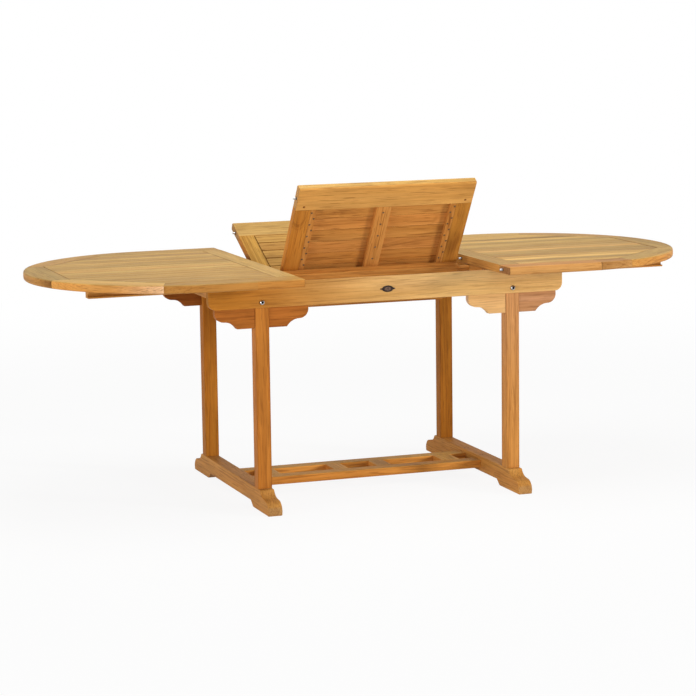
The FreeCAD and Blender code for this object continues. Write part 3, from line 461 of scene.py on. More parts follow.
# the raised tones of rails and rungs are painted light, for light that reaches them under the top
for node in ("stretcher_front", "stretcher_back"):
    board(node, "frame", STRETCHER_TEAK, arris=2.0 * MM, tones=[(1.2, 0.0)])
RUNG_TEAK = teak("rungs", ALONG_Y, STRETCHER_WOOD, figure=0.4, knots=0.04, upper=ALONG_Z)
board("stretcher_rungs", "frame", RUNG_TEAK, tones=[(1.1, 0.0), (1.3, 0.0)])

# Aprons and brackets
# A long teak apron on each side, bolted to the legs, with its lower end corners sawn round.
# Under it, beside each leg, a pair of bracket boards is sawn to a double curve and glued on.
# the apron pales towards its right end: partly sapwood, partly a painted gradient of light that falls off to
# the left
APRON_TEAK = teak("apron", ALONG_X, wood((184, 122, 47), (168, 106, 34), (108, 58, 16)), 0.28, 0.05,
                  sapwood=(-0.58, 0.25))
RED_TEAK = teak("red_plank", ALONG_X, wood((196, 119, 50), (176, 95, 33), FRAME_DARK), 0.4, 0.1)
FRAME_LENGTHWISE = teak("frame_lengthwise", ALONG_X, FRAME_WOOD, figure=0.42, knots=0.08)
for node, tone in (("apron_front", 0.4), ("apron_back", 0.2)):
    board(node, "frame", APRON_TEAK, arris=1.0 * MM, tones=[(tone, 0.0)])
# the left brackets' low tones are partly the wood and partly painted shade, where the light falls off to the
# left
for node, plank, tones in (
    ("bracket_front_left", RED_TEAK, [(-1.0, 0.0), (-0.95, 0.0)]),
    ("bracket_back_left", RED_TEAK, [(-1.5, 0.0), (-1.3, 0.0)]),
    ("bracket_front_right", APRON_TEAK, [(0.3, 0.25), (-1.0, 1.0)]),
    ("bracket_back_right", FRAME_LENGTHWISE, [(0.1, 0.0), (0.0, 0.2)]),
):
    board(node, "frame", plank, arris=1.6 * MM, tones=tones)

# Cross rails and guides
# Teak rails that tie the aprons together at the ends and beside the gap, notched for the runners; the
# inner pair seats the leaf's pivot. A thin teak guide is fixed along the inside of each apron.
for node in ("end_rail_left", "end_rail_right", "pivot_rail_left", "pivot_rail_right"):
    board(node, "frame", FRAME_ACROSS, arris=1.2 * MM)
board("slide_guides", "frame", FRAME_LENGTHWISE, arris=0.8 * MM)

# Bolts
# A stainless button-head bolt holds each apron to its leg, with a domed head and a socket for a key.
# Behind the leg it ends in a nut.


def worn_metal():
    """Fine turning lines and smudges, the same on every small metal part, and a dark tint on marked faces:
    painted shade in recesses and by a head, and a darker pin collar.
    """
    inputs = [("Vector", "Vector"), ("Bright", "Color"), ("Dull", "Color"), ("Grime", "Float")]
    tree, given, result = node_group("worn_metal", "ShaderNodeTree", inputs, SURFACE)
    times, plus, _ = arithmetic(tree)
    smudge = noise(tree, given["Vector"], (160.0, 160.0), 3.0, 0.6)
    scratch = noise(tree, given["Vector"], (300.0, 4000.0), 1.0)
    tint = mixed(tree, spread(tree, smudge, 0.4, 0.72), given["Bright"], given["Dull"])
    tint = mixed(tree, given["Grime"], tint, (0.010, 0.007, 0.005, 1))
    rough = plus(times(smudge, 0.22), 0.14)
    rough = plus(rough, times(given["Grime"], 0.5))
    rough = plus(rough, times(scratch, 0.08))
    feed(tree, result, {"Color": tint, "Roughness": rough, "Height": scratch})
    return tree


WORN_METAL = worn_metal()


def metal(name, bright, dull, metallic=1.0):
    material, tree, shader = surface_of(name)
    where = add_node(tree, "ShaderNodeTexCoord")["Object"]
    values = {"Vector": where, "Grime": attribute_of(tree, "grime"),
              "Bright": colour(*bright), "Dull": colour(*dull)}
    worn = add_node(tree, "ShaderNodeGroup", values, node_tree=WORN_METAL)
    dress(tree, shader, worn["Color"], worn, strength=0.15, depth=0.05 * MM)
    shader.inputs["Metallic"].default_value = metallic
    return material


def around(sides):
    """The angles of the points of a ring; a ring of one point is a tip."""
    return [2 * math.pi * k / sides for k in range(sides)]


def lofted(name, rings, mark, caps, crease=None):
    """A mesh over rings of points. caps numbers the rings that are closed, each with its darkening.

    mark gives a face its wear, its darkening, which is mostly painted shade, and the number of its material,
    from its step and its side."""
    form = bmesh.new()
    worn, grime = form.faces.layers.float.new("arris"), form.faces.layers.float.new("grime")
    rings = [[form.verts.new(point) for point in ring] for ring in rings]
    for step, (lower, upper) in enumerate(zip(rings, rings[1:])):
        for k in range(len(rings[1])):
            order = (lower, k), (lower, k + 1), (upper, k + 1), (upper, k)
            corners = [ring[i % len(ring)] for ring, i in order]
            corners = [v for i, v in enumerate(corners) if v not in corners[:i]]
            if len(corners) > 2:
                face = form.faces.new(corners)
                face[worn], face[grime], face.material_index = mark(step, k)
    for number, dirt_and_shade in caps.items():
        form.faces.new(list(reversed(rings[number])))[grime] = dirt_and_shade
    bmesh.ops.recalc_face_normals(form, faces=form.faces)
    return as_mesh(form, name, crease)


def turned(name, profile, sides=24, grimy=()):
    """A part turned on a lathe about Z from (radius, height) points, bottom centre to top centre, in
    millimetres. The last argument numbers the steps of the profile that are darkened: painted shade in a
    bolt's socket and where its head meets the wood, and a darker collar on a pin."""
    rings = [[(r * MM * math.cos(a), r * MM * math.sin(a), h * MM) for a in around(sides if r else 1)]
             for r, h in profile]
    return lofted(name, rings, lambda step, k: (0.0, float(step in grimy), 0), {}, math.radians(40))


def random_number(tree, low, high, seed):
    """A random number between low and high for each point or each slat."""
    draw = tree.nodes.new("FunctionNodeRandomValue")
    draw.data_type = "FLOAT"
    feed(tree, draw.inputs, {"Seed": seed})
    least, most = [s for s in draw.inputs if s.name in ("Min", "Max") and s.type == "VALUE"]
    least.default_value, most.default_value = low, high
    return next(s for s in draw.outputs if s.type == "VALUE")


GEOMETRY = ("Geometry", "Geometry")


def finished(tree, given, result, instances):
    """The end of a geometry-nodes tree: real meshes with their material."""
    real = add_node(tree, "GeometryNodeRealizeInstances", {0: instances})[0]
    values = {"Geometry": real, "Material": given["Finish"]}
    feed(tree, result, {"Geometry": add_node(tree, "GeometryNodeSetMaterial", values)[0]})


def set_out_tree():
    """Geometry nodes that put one fixing at each point, along its own direction, at a random turn."""
    inputs = [GEOMETRY, ("Pattern", "Object"), ("Size", "Float"), ("Finish", "Material"), ("Seed", "Int")]
    tree, given, result = node_group("fixings_at_points", "GeometryNodeTree", inputs, [GEOMETRY])
    fixing = add_node(tree, "GeometryNodeObjectInfo", {"Object": given["Pattern"]})["Geometry"]
    way = add_node(tree, "GeometryNodeInputNamedAttribute", {"Name": "facing"}, data_type="FLOAT_VECTOR")
    values = {"Vector": way["Attribute"]}
    aligned = add_node(tree, "FunctionNodeAlignRotationToVector", values, axis="Z")[0]
    values = {"Axis": (0, 0, 1), "Angle": random_number(tree, 0.0, 2 * math.pi, given["Seed"])}
    about = add_node(tree, "FunctionNodeAxisAngleToRotation", values)[0]
    values = {"Rotation": aligned, "Rotate By": about}
    both = add_node(tree, "FunctionNodeRotateRotation", values, rotation_space="LOCAL")[0]
    values = {"Points": given["Geometry"], "Instance": fixing, "Rotation": both, "Scale": given["Size"]}
    finished(tree, given, result, add_node(tree, "GeometryNodeInstanceOnPoints", values)[0])
    return tree


SET_OUT = set_out_tree()


def made_by(tree, name, points, pattern, **values):
    """The plain mesh that a geometry-nodes tree makes by repeating a pattern, with these inputs."""
    values["pattern"] = in_scene(name + "_pattern", pattern)
    helper = in_scene(name + "_helper", points)
    modifier = helper.modifiers.new("made by rule", "NODES")
    modifier.node_group = tree
    for item in tree.interface.items_tree:
        key = item.name.replace(" ", "_").lower()
        if item.in_out == "INPUT" and key in values:
            modifier[item.identifier] = values[key]
    made = evaluated(helper, name)
    bpy.data.objects.remove(values["pattern"])
    return made


def fixings(name, body, mesh, material, places, size=1.0, seed=1, stands_for=()):
    """Sets one small part at each (point, direction) and joins them in one piece."""
    points = bpy.data.meshes.new(name + "_points")
    points.from_pydata([tuple(p) for p, _ in places], [], [])
    way = points.attributes.new("facing", "FLOAT_VECTOR", "POINT")
    way.data.foreach_set("vector", [x for _, d in places for x in Vector(d).normalized()])
    made = made_by(SET_OUT, name, points, mesh, size=size, finish=material, seed=seed)
    add_piece(name, made, body, stands_for)


def finish_node(node, material):
    """Gives a CAD node that stays in sight its material."""
    materials = frame["nodes"][node].data.materials
    materials.clear()
    materials.append(material)


STEEL = metal("stainless_steel", (196, 197, 198), (136, 137, 140))
BOLT_X, BOLT_Z, APRON_FACE = 430 * MM, 670 * MM, 319 * MM
HEAD, SOCKET, SHANK, SHANK_END = 8.2, 3.9, 4, -22
# the bolt's socket and the side of its head are darkened with painted shade
BOLT = turned("button_head", (
    (0, SHANK_END), (SHANK, SHANK_END), (SHANK, -0.2), (HEAD, -0.2), (HEAD, 0.5), (7.8, 1.9), (7.0, 3.2),
    (5.9, 4.2), (5.0, 4.8), (SOCKET + 0.3, 5.0), (SOCKET, 4.7), (SOCKET, -3.0), (0, -3.4),
), grimy=(3, 10, 11))
bolts = [((sx * BOLT_X, sy * APRON_FACE, BOLT_Z), (0, sy, 0)) for sx in (-1, 1) for sy in (-1, 1)]
fixings("button_head_bolts", "frame", BOLT, STEEL, bolts, stands_for=["apron_bolts"])
finish_node("apron_nuts", STEEL)

# Plate
# A small blank oval plate of dark bronze on the front apron, with a raised border, a paler worn
# middle and an ear at each end, pressed from sheet and held by a round-headed tack through each ear.
PLATE_MIDDLE = Vector((-7 * MM, -APRON_FACE, 690.7 * MM))
PLATE_HALF, PLATE_RISE, PLATE_SIDES = (19 * MM, 10.6 * MM), 1.8 * MM, 72
PLATE_STEPS = (  # shares of its half sizes and of its rise
    (1.0, 0.0), (1.0, 0.6), (0.95, 1.0), (0.72, 1.0), (0.64, 0.55), (0.58, 0.5), (0.35, 0.62), (0.0, 0.66),
)
WORN_FROM = 5  # the step where the worn middle starts
EAR, EAR_FROM, EAR_SLOPE, EAR_RISE = 7.0 * MM, 0.965, 0.012, 0.6
EARED_FROM = 0.9  # only the outer steps have ears
BRONZE = metal("dark_bronze", (48, 32, 24), (26, 17, 13), metallic=0.5)
WORN_BRONZE = metal("worn_bronze", (112, 86, 70), (70, 50, 40), metallic=0.5)


def oval_plate():
    rings = []
    for share, rise in PLATE_STEPS:
        ring = []
        for a in around(PLATE_SIDES if share else 1):
            ear = EAR * max(0.0, min(1.0, (abs(math.cos(a)) - EAR_FROM) / EAR_SLOPE))
            ear = ear if share > EARED_FROM else 0.0
            ring.append((
                PLATE_MIDDLE.x + math.cos(a) * PLATE_HALF[0] * share + math.copysign(ear, math.cos(a)),
                PLATE_MIDDLE.y - rise * PLATE_RISE * (EAR_RISE if ear > 0 else 1.0),
                PLATE_MIDDLE.z + math.sin(a) * PLATE_HALF[1] * share))
        rings.append(ring)

    def mark(step, k):
        return 0.0, 0.0, int(step >= WORN_FROM)

    mesh = lofted("oval_plate", rings, mark, {0: 0.0}, math.radians(35))
    mesh.materials.append(BRONZE)
    mesh.materials.append(WORN_BRONZE)
    return mesh


add_piece("oval_plate", oval_plate(), "frame")
TACK = turned("tack", ((0, -4), (0.9, -4), (0.9, 0.6), (1.9, 0.6), (1.7, 1.2), (1.0, 1.6), (0, 1.75)), 12)
TACK_OUT, TACK_RISE = PLATE_HALF[0] + 4.2 * MM, 0.5 * MM
tacks = [(PLATE_MIDDLE + Vector((s * TACK_OUT, -TACK_RISE, 0)), (0, -1, 0)) for s in (-1, 1)]
fixings("plate_tacks", "frame", TACK, WORN_BRONZE, tacks)

# Rims of the two halves
# Each half of the top is framed in thick teak: two straight rims, two rounded corners, an end board and
# an inner rail by the gap, glued edge to edge. The front rims are glued up from two lengths of wood.
TOP_DARK = (132, 80, 32)
TOP_WOOD = wood((210, 154, 82), (194, 132, 62), TOP_DARK)
BACK_RIM = teak("top_lengthwise", ALONG_X, TOP_WOOD, 0.4, 0.04, upper=ALONG_Z)
LEFT_WOOD = wood((206, 146, 73), (190, 124, 54), TOP_DARK)
LEFT_RIM = teak("rim_left", ALONG_X, LEFT_WOOD, 0.4, 0.04, upper=ALONG_Z)
RIGHT_WOOD = wood((210, 156, 92), (194, 134, 70), TOP_DARK)
RIGHT_RIM = teak("rim_right", ALONG_X, RIGHT_WOOD, 0.4, 0.04, end_tint=(0.56, 0.55, 0.70, 1))
TOP_ACROSS = teak("top_across", ALONG_Y, TOP_WOOD, 0.4, 0.03, upper=ALONG_Z)
END_TEAK = teak("end_board", ALONG_Y, TOP_WOOD, 0.4, 0.03, upper=ALONG_Z, ends=(0.12, 0.5),
                end_tint=(0.26, 0.19, 0.17, 1))
RIM_ARRIS, RIM_STEPS = 4.2 * MM, 3
CORNER_CHORD = (249.0, 222.0)  # the field's cut corner, along and across
FRONT_RIMS = {  # teak, glue line, tones; corner tone, sapwood
    "left": (LEFT_RIM, -0.498, [(-0.85, 0.0), (-0.4, 0.0)], [(0.8, 0.0)], (0.47, 0.10)),
    "right": (RIGHT_RIM, 0.670, [(-0.4, 0.0), (-1.3, 0.0)], [(-0.4, 0.0)], None),
}
for side, sign, end_tone, rail_tone in (("left", -1, -1.0, 0.1), ("right", 1, -0.8, -0.8)):
    body = "half_" + side
    for edge, depth in (("front", -1), ("back", 1)):
        plank, glue_line, tones, corner_tone, sapwood = BACK_RIM, None, None, None, None
        if edge == "front":
            plank, glue_line, tones, corner_tone, sapwood = FRONT_RIMS[side]
        chord = Vector((CORNER_CHORD[0] * sign, -CORNER_CHORD[1] * depth, 0)).normalized()
        corner_teak = teak(f"corner_{edge}_{side}", chord, TOP_WOOD, 0.42, 0.03, upper=ALONG_Z,
                           sapwood=sapwood)
        board(f"rim_{edge}_{side}", body, plank, RIM_ARRIS, RIM_STEPS, glue_line, tones)
        board(f"corner_{edge}_{side}", body, corner_teak, RIM_ARRIS, RIM_STEPS,
              tones=corner_tone)
    board("end_board_" + side, body, END_TEAK, RIM_ARRIS, RIM_STEPS, tones=[(end_tone, 0.0)])
    board("inner_rail_" + side, body, TOP_ACROSS, arris=1.4 * MM, tones=[(rail_tone, 0.0)])

# Slats and battens of the two halves
# Seventeen thin teak slats fill each frame with a narrow gap between them. Each is rebated, so a lip
# almost closes the gap from below. Three teak battens cross under them, screwed to every second slat.
SLAT_TEAK = teak("slats", ALONG_X, TOP_WOOD, figure=0.40, knots=0.03, upper=ALONG_Z)
FIELD_SLATS, SLAT_PITCH, SLAT_GAP, LIP_GAP = 17, 48.118 * MM, 2.8 * MM, 0.5 * MM
SLAT_DEPTH, LIP_DEPTH, SLAT_EASE, LIP_EASE = 14 * MM, 5 * MM, 1.7 * MM, 0.4 * MM
FIELD_START, FIELD_END, FIELD_SIDE, END_HALF = 411 * MM, 1019 * MM, 409 * MM, 187 * MM
CORNER_AT, SLAT_BOTTOM, START_GAP, END_GAP = 770 * MM, 746 * MM, 0.4 * MM, 2.6 * MM
CORNER_SLOPE = (FIELD_END - CORNER_AT) / (FIELD_SIDE - END_HALF)
# painted shade darkens a slat's sides in the gaps and its end caps fully, and its lower arris facets and
# eased ends in part
EASED_SIDES, GAP_SIDES, FLANKS = (6, 10), (2, 3, 4, 12, 13, 14), (5, 11)  # sides of a slat's section
ROUND_SHARE, END_DROP, EDGE_WEAR, FLANK_SHADE = 0.3, 0.8, 0.4, 0.45


def slat_pattern(name, length):
    """One slat along X from 0: rebated below, its upper arrises rounded and its ends eased."""
    half, lip, top = (SLAT_PITCH - SLAT_GAP) / 2, (SLAT_PITCH - LIP_GAP) / 2, SLAT_DEPTH
    bend = abs(END_HALF - 4 * SLAT_PITCH)  # the fourth slat out crosses the corner here
    outline = [(bend, 0), (lip - LIP_EASE, 0), (lip, LIP_EASE), (lip, LIP_DEPTH), (half, LIP_DEPTH),
               (half, top - SLAT_EASE), (half - ROUND_SHARE * SLAT_EASE, top - ROUND_SHARE * SLAT_EASE),
               (half - SLAT_EASE, top), (bend, top)]
    section = outline + [(-y, z) for y, z in reversed(outline)]
    rings = [
        [(x, y - math.copysign(inset, y), z if z < LIP_DEPTH else z - inset * END_DROP) for y, z in section]
        for x, inset in ((0.0, SLAT_EASE), (SLAT_EASE, 0.0), (length - SLAT_EASE, 0.0), (length, SLAT_EASE))
    ]

    # painted shade in the gaps and at the ends of the slat
    def mark(step, k):
        dirt_and_shade = 1.0 if k in GAP_SIDES else FLANK_SHADE if k in FLANKS or step != 1 else 0.0
        return EDGE_WEAR if k in EASED_SIDES else 0.0, dirt_and_shade, 0

    return lofted(name, rings, mark, {0: 1.0, -1: 1.0})


def slat_tree():
    """Geometry nodes that lay slats side by side, tone each one and cut it to the field's corners."""
    inputs = [GEOMETRY, ("Pattern", "Object"), ("Count", "Int"), ("Pitch", "Float"), ("Length", "Float"),
              ("Corner From", "Float"), ("Corner Slope", "Float"), ("Tone Spread", "Float"),
              ("Finish", "Material"), ("Seed", "Int")]
    tree, given, result = node_group("slats_side_by_side", "GeometryNodeTree", inputs, [GEOMETRY])
    times, plus, minus = arithmetic(tree)
    reach = times(minus(given["Count"], 1.0), -0.5)
    first = times(reach, given["Pitch"])
    first = add_node(tree, "ShaderNodeCombineXYZ", {"Y": first})[0]
    step = add_node(tree, "ShaderNodeCombineXYZ", {"Y": given["Pitch"]})[0]
    values = {"Count": given["Count"], "Start Location": first, "Offset": step}
    line = add_node(tree, "GeometryNodeMeshLine", values)[0]
    slat = add_node(tree, "GeometryNodeObjectInfo", {"Object": given["Pattern"]})["Geometry"]
    laid = add_node(tree, "GeometryNodeInstanceOnPoints", {"Points": line, "Instance": slat})[0]
    draws = (("board", 0.0, 1.0), ("tone", -1.0, 1.0), ("rose", -0.5, 0.35))
    store = "GeometryNodeStoreNamedAttribute"
    for count, (name, low, high) in enumerate(draws):
        value = random_number(tree, low, high, plus(given["Seed"], float(count)))
        if name == "tone":
            value = times(value, given["Tone Spread"])
        elif name == "rose":
            value = math_node(tree, "MAXIMUM", value, 0.0)
        values = {"Geometry": laid, "Name": name, "Value": value}
        laid = add_node(tree, store, values, data_type="FLOAT", domain="INSTANCE")[0]
    real = add_node(tree, "GeometryNodeRealizeInstances", {0: laid})[0]
    where = add_node(tree, "GeometryNodeInputPosition")[0]
    apart = add_node(tree, "ShaderNodeSeparateXYZ", {0: where})
    beyond = minus(math_node(tree, "ABSOLUTE", apart[1]), given["Corner From"])
    back = times(math_node(tree, "MAXIMUM", beyond, 0.0), given["Corner Slope"])
    back = add_node(tree, "ShaderNodeCombineXYZ", {"X": times(back, -1.0)})[0]
    far = math_node(tree, "GREATER_THAN", apart[0], times(given["Length"], 0.5))
    values = {"Geometry": real, "Selection": far, "Offset": back}
    finished(tree, given, result, add_node(tree, "GeometryNodeSetPosition", values)[0])
    return tree


SLATS = slat_tree()


def slats(node, body, material, place, count, length, seed, tone_spread,
          corner_from=10.0, corner_slope=0.0):
    """A field of slats laid out flat by the tree, then moved to its place on the table."""
    name = node + "_wood"
    base, pattern = bpy.data.meshes.new(node + "_base"), slat_pattern(node + "_pattern", length)
    mesh = made_by(SLATS, name, base, pattern, count=count, pitch=SLAT_PITCH, length=length,
                   corner_from=corner_from, corner_slope=corner_slope, tone_spread=tone_spread,
                   finish=material, seed=seed)
    mesh.transform(place)
    add_piece(name, mesh, body, [node])


for side, turn, seed, tone_spread in (("left", math.pi, 3, 0.8), ("right", 0.0, 8, 1.2)):
    place = Matrix.Rotation(turn, 4, "Z") @ Matrix.Translation((FIELD_START + START_GAP, 0, SLAT_BOTTOM))
    slats("slats_" + side, "half_" + side, SLAT_TEAK, place, FIELD_SLATS,
          FIELD_END - FIELD_START - END_GAP, seed, tone_spread, END_HALF, CORNER_SLOPE)
    board("battens_" + side, "half_" + side, FRAME_ACROSS, arris=1.2 * MM)

# Runners
# Two teak bars under each half, grooved along one side so that they slide on the guides of the frame.
# They are planed from the same plain teak as the frame and screwed up into the battens.
for side in ("left", "right"):
    board("runners_" + side, "half_" + side, FRAME_LENGTHWISE, arris=1.2 * MM)

# Leaf
# Two framed teak panels, hinged to each other along the table's middle; the front one turns on a pivot
# bar. Each has an outer rail, a hinge rail, two stiles and seven slats, and battens screwed on below.
LEAF_DARK = (116, 62, 22)
LEAF_WOOD = {"front": wood((208, 147, 75), (189, 123, 54), LEAF_DARK),
             "back": wood((200, 138, 65), (181, 115, 46), LEAF_DARK)}
RAIL_WOOD = wood((216, 161, 88), (200, 142, 69), LEAF_DARK)
STILE_WOOD = wood((207, 142, 60), (188, 117, 40), LEAF_DARK)
LEAF_SLATS, STILE_AT, STILE_GAP, LEAF_FIELD_MIDDLE = 7, 250 * MM, 2.0 * MM, 240.6 * MM
BATTEN_TONES = [(-0.15, 0.1), (-0.1, 0.1), (-0.3, 0.1)]
LEAF_SLOPE = {"front": math.radians(56), "back": math.radians(27)}
PIVOT = Vector((0, -140 * MM, 721.5 * MM))
HINGE_LINE, HINGE_FLAT = Vector((0, -29.298 * MM, 627.299 * MM)), Vector((0, 0, 760.6 * MM))


def swung(to, turn, start):
    """A turn about the table's length that also takes the point start to another."""
    return Matrix.Translation(to) @ Matrix.Rotation(turn, 4, "X") @ Matrix.Translation(-start)


LEAF_PLACE = {  # from lying flat in the top to half unfolded
    "front": swung(PIVOT, -LEAF_SLOPE["front"], PIVOT),
    "back": swung(HINGE_LINE, LEAF_SLOPE["back"], HINGE_FLAT),
}
for part, sign, rail_tone, seed in (("front", -1, -0.06, 21), ("back", 1, -0.8, 34)):
    body, leaf, plank = "leaf_" + part, "leaf_" + part + "_", LEAF_WOOD[part]
    slope = Vector((0, sign * math.cos(LEAF_SLOPE[part]), math.sin(LEAF_SLOPE[part])))
    upper = Vector((0, -sign * math.sin(LEAF_SLOPE[part]), math.cos(LEAF_SLOPE[part])))
    across = teak("leaf_across_" + part, slope, plank, 0.45, 0.05, upper)
    lengthwise = teak("leaf_lengthwise_" + part, ALONG_X, plank, 0.5, 0.12, upper)
    stile = teak("leaf_stile_" + part, slope, STILE_WOOD, 0.45, 0.05, upper)
    rail = teak("leaf_rail_" + part, ALONG_X, RAIL_WOOD, 0.42, 0.02, (upper + slope).normalized())
    board(leaf + "outer_rail", body, rail, arris=1.6 * MM, tones=[(rail_tone, 0.0)])
    board(leaf + "hinge_rail", body, lengthwise, arris=1.0 * MM)
    for end, tone in (("left", -0.05), ("right", -1.0)):
        board(leaf + "stile_" + end, body, stile, arris=1.4 * MM, tones=[(tone, 0.0)])
    place = Matrix.Translation((STILE_GAP - STILE_AT, sign * LEAF_FIELD_MIDDLE, SLAT_BOTTOM))
    slats(leaf + "slats", body, lengthwise, LEAF_PLACE[part] @ place, LEAF_SLATS,
          2 * (STILE_AT - STILE_GAP), seed, tone_spread=0.4)
    board(leaf + "battens", body, across, arris=1.2 * MM, tones=BATTEN_TONES)
PIVOT_TEAK = teak("pivot_bar", ALONG_X, LEAF_WOOD["front"], 0.4, 0.03)
board("leaf_pivot_bar", "leaf_front", PIVOT_TEAK, arris=1.2 * MM, tones=[(0.57, 0.0)])

# Hinges
# Two butt hinges of solid brass, let into the meeting edges of the leaf's halves.
# The knuckles of their plates interleave on a round pin.
BRASS = metal("brass", (212, 172, 96), (158, 118, 58))
for node in ("hinge_front", "hinge_back"):
    finish_node(node, BRASS)

# Locating pins
# Turned steel pins with a rounded nose line the leaf up with the halves. Each is driven into the
# edge through a thin steel collar.
PIN_RADIUS, PIN_REACH, PIN_ROOT, COLLAR = 3.6, 11.0, -18.0, 5.6
PIN = turned("locating_pin", (
    (0, PIN_ROOT), (PIN_RADIUS, PIN_ROOT), (PIN_RADIUS, 0.1), (COLLAR, 0.1), (COLLAR, 0.35),
    (COLLAR - 0.4, 0.6), (PIN_RADIUS + 0.5, 0.6), (PIN_RADIUS, 0.5), (PIN_RADIUS, PIN_REACH - 2.4),
    (3.2, PIN_REACH - 1.2), (2.3, PIN_REACH - 0.35), (1.1, PIN_REACH - 0.05), (0, PIN_REACH),
), sides=20, grimy=(2, 3, 4, 5, 6))


def pin_places(node):
    """Where each pin of a CAD node leaves the wood; all of them point to the left."""
    form = welded(node)
    places = []
    for pin in islands(form.verts, lambda vert: [v for edge in vert.link_edges for v in edge.verts]):
        low, high = [[f(v.co[i] for v in pin) for i in range(3)] for f in (min, max)]
        root = Vector((low[0] + PIN_REACH * MM, (low[1] + high[1]) / 2, (low[2] + high[2]) / 2))
        places.append((root, (-1, 0, 0)))
    form.free()
    return sorted(places, key=lambda place: tuple(round(x, 4) for x in place[0]))


for node, body in (("locating_pins_right", "half_right"), ("leaf_front_pins", "leaf_front"),
                   ("leaf_back_pins", "leaf_back")):
    fixings(node + "_turned", body, PIN, STEEL, pin_places(node), stands_for=[node])

# Screws and plugs
# Zinc-plated cross-head screws hold the battens to the slats and the runners to the battens. The dowels
# of the leaf's outer rails and of the stretcher show as round plugs of teak end grain.
ZINC = metal("zinc_plated_steel", (140, 118, 90), (82, 62, 44), metallic=0.9)
SCREW_STEPS = (  # radius and height in millimetres, and 1 where the cross is cut
    (3.5, -0.6, 0), (3.5, 0.15, 0), (3.0, 0.45, 0), (1.9, 0.5, 1), (1.5, -0.5, 1), (0, -0.6, 0),
)
# painted shade darkens the cross recess and the ring where the head meets the wood; the top is a little
# darker
SCREW_DARKENING, SCREW_SIDES, CROSS_WAIST = (0.9, 0.0, 0.3, 1.0, 1.0), 16, 0.42


def screw_head():
    """A low countersunk head with a cross recess; few faces, because there are many."""
    rings = []
    for radius, height, cross in SCREW_STEPS:
        ring = []
        for k, a in enumerate(around(SCREW_SIDES if radius else 1)):
            r = radius * (1.0 if not cross or k % 4 == 0 else CROSS_WAIST) * MM
            ring.append((r * math.cos(a), r * math.sin(a), height * MM))
        rings.append(ring)
    return lofted("screw_head", rings, lambda step, k: (0.0, SCREW_DARKENING[step], 0), {0: 0.0})


SCREW, DOWN = screw_head(), Vector((0, 0, -1))
UNDERSIDE, RUNNER_UNDER, RUNNER_AT = 733 * MM, 709 * MM, 275.5 * MM
BATTENS_AT, BATTEN_HALF, END_ROOM, RUNNER_ROOM = (476 * MM, 686 * MM, 896 * MM), 25 * MM, 10 * MM, 26 * MM
RUNNER_SCREW = (8 * MM, 7 * MM)  # off the batten's middle and the runner's
for side, sign, seed in (("left", -1, 40), ("right", 1, 41)):
    places = []
    for x in BATTENS_AT:
        wide = FIELD_SIDE - max(0.0, x + BATTEN_HALF - CORNER_AT) / CORNER_SLOPE
        for k in range(0, FIELD_SLATS, 2):
            y = (k - FIELD_SLATS // 2) * SLAT_PITCH
            if abs(y) < wide - END_ROOM and abs(abs(y) - RUNNER_AT) > RUNNER_ROOM:
                places.append((Vector((sign * x, y, UNDERSIDE)), DOWN))
        for depth in (-1, 1):
            y = depth * (RUNNER_AT - RUNNER_SCREW[1])
            places.append((Vector((sign * (x + RUNNER_SCREW[0]), y, RUNNER_UNDER)), DOWN))
    fixings("batten_screws_" + side, "half_" + side, SCREW, ZINC, places, seed=seed)
BARE_SLAT = 1  # the pivot bar covers this slat of the front
CLEAT_AT, STAGGER = 240, (5, 12)  # screws in the end battens are staggered, mm
for part, sign, seed in (("front", -1, 50), ("back", 1, 51)):
    turn = LEAF_PLACE[part]
    way = turn.to_3x3() @ DOWN
    rows = [LEAF_FIELD_MIDDLE + (k - LEAF_SLATS // 2) * SLAT_PITCH for k in range(LEAF_SLATS)]
    rows = [row for k, row in enumerate(rows) if part == "back" or k != BARE_SLAT]
    spots = [(0.0, row) for row in rows]
    spots += [(end * (CLEAT_AT + step * STAGGER[0]) * MM, row + step * STAGGER[1] * MM)
              for end in (-1, 1) for row in rows for step in (-1, 1)]
    places = [(turn @ Vector((x, sign * row, UNDERSIDE)), way) for x, row in spots]
    fixings("leaf_screws_" + part, "leaf_" + part, SCREW, ZINC, places, seed=seed)

PLUG = turned("wood_plug", ((0, -1.5), (5.0, -1.5), (5.0, 0.05), (4.6, 0.22), (0, 0.3)), 20)
PLUG_TEAK = teak("plug_end_grain", ALONG_Z, wood((150, 96, 48), (120, 70, 30), (70, 36, 12)), 0.6, 0.0)
RAIL_PLUG, FOOT_TOP = (276 * MM, 423 * MM), 70 * MM
FOOT_PLUGS = ((424.8 * MM, 63.4 * MM), (414.2 * MM, 67.9 * MM))
for part, sign in (("front", -1), ("back", 1)):
    turn = LEAF_PLACE[part]
    places = [(turn @ Vector((end * RAIL_PLUG[0], sign * RAIL_PLUG[1], UNDERSIDE)), turn.to_3x3() @ DOWN)
              for end in (-1, 1)]
    fixings("rail_plugs_" + part, "leaf_" + part, PLUG, PLUG_TEAK, places, size=0.8)
places = [(Vector((sx * x, sy * y, FOOT_TOP)), (0, 0, 1))
          for sx in (-1, 1) for sy in (-1, 1) for x, y in FOOT_PLUGS]
fixings("stretcher_plugs", "frame", PLUG, PLUG_TEAK, places, size=0.7)

# Floor, light and camera
# A plain white floor in a white surround, which keeps a faint shadow near the feet. A low key lamp from
# the right, a soft fill from the left and one overhead light the table. The camera is at eye height.
scene = bpy.context.scene
scene.view_settings.view_transform = "Standard"
FLOOR = 60.0
floor_mesh = bpy.data.meshes.new("floor")
corners = [(-FLOOR, -FLOOR, 0), (FLOOR, -FLOOR, 0), (FLOOR, FLOOR, 0), (-FLOOR, FLOOR, 0)]
floor_mesh.from_pydata(corners, [], [(0, 1, 2, 3)])
floor = in_scene("floor", floor_mesh)


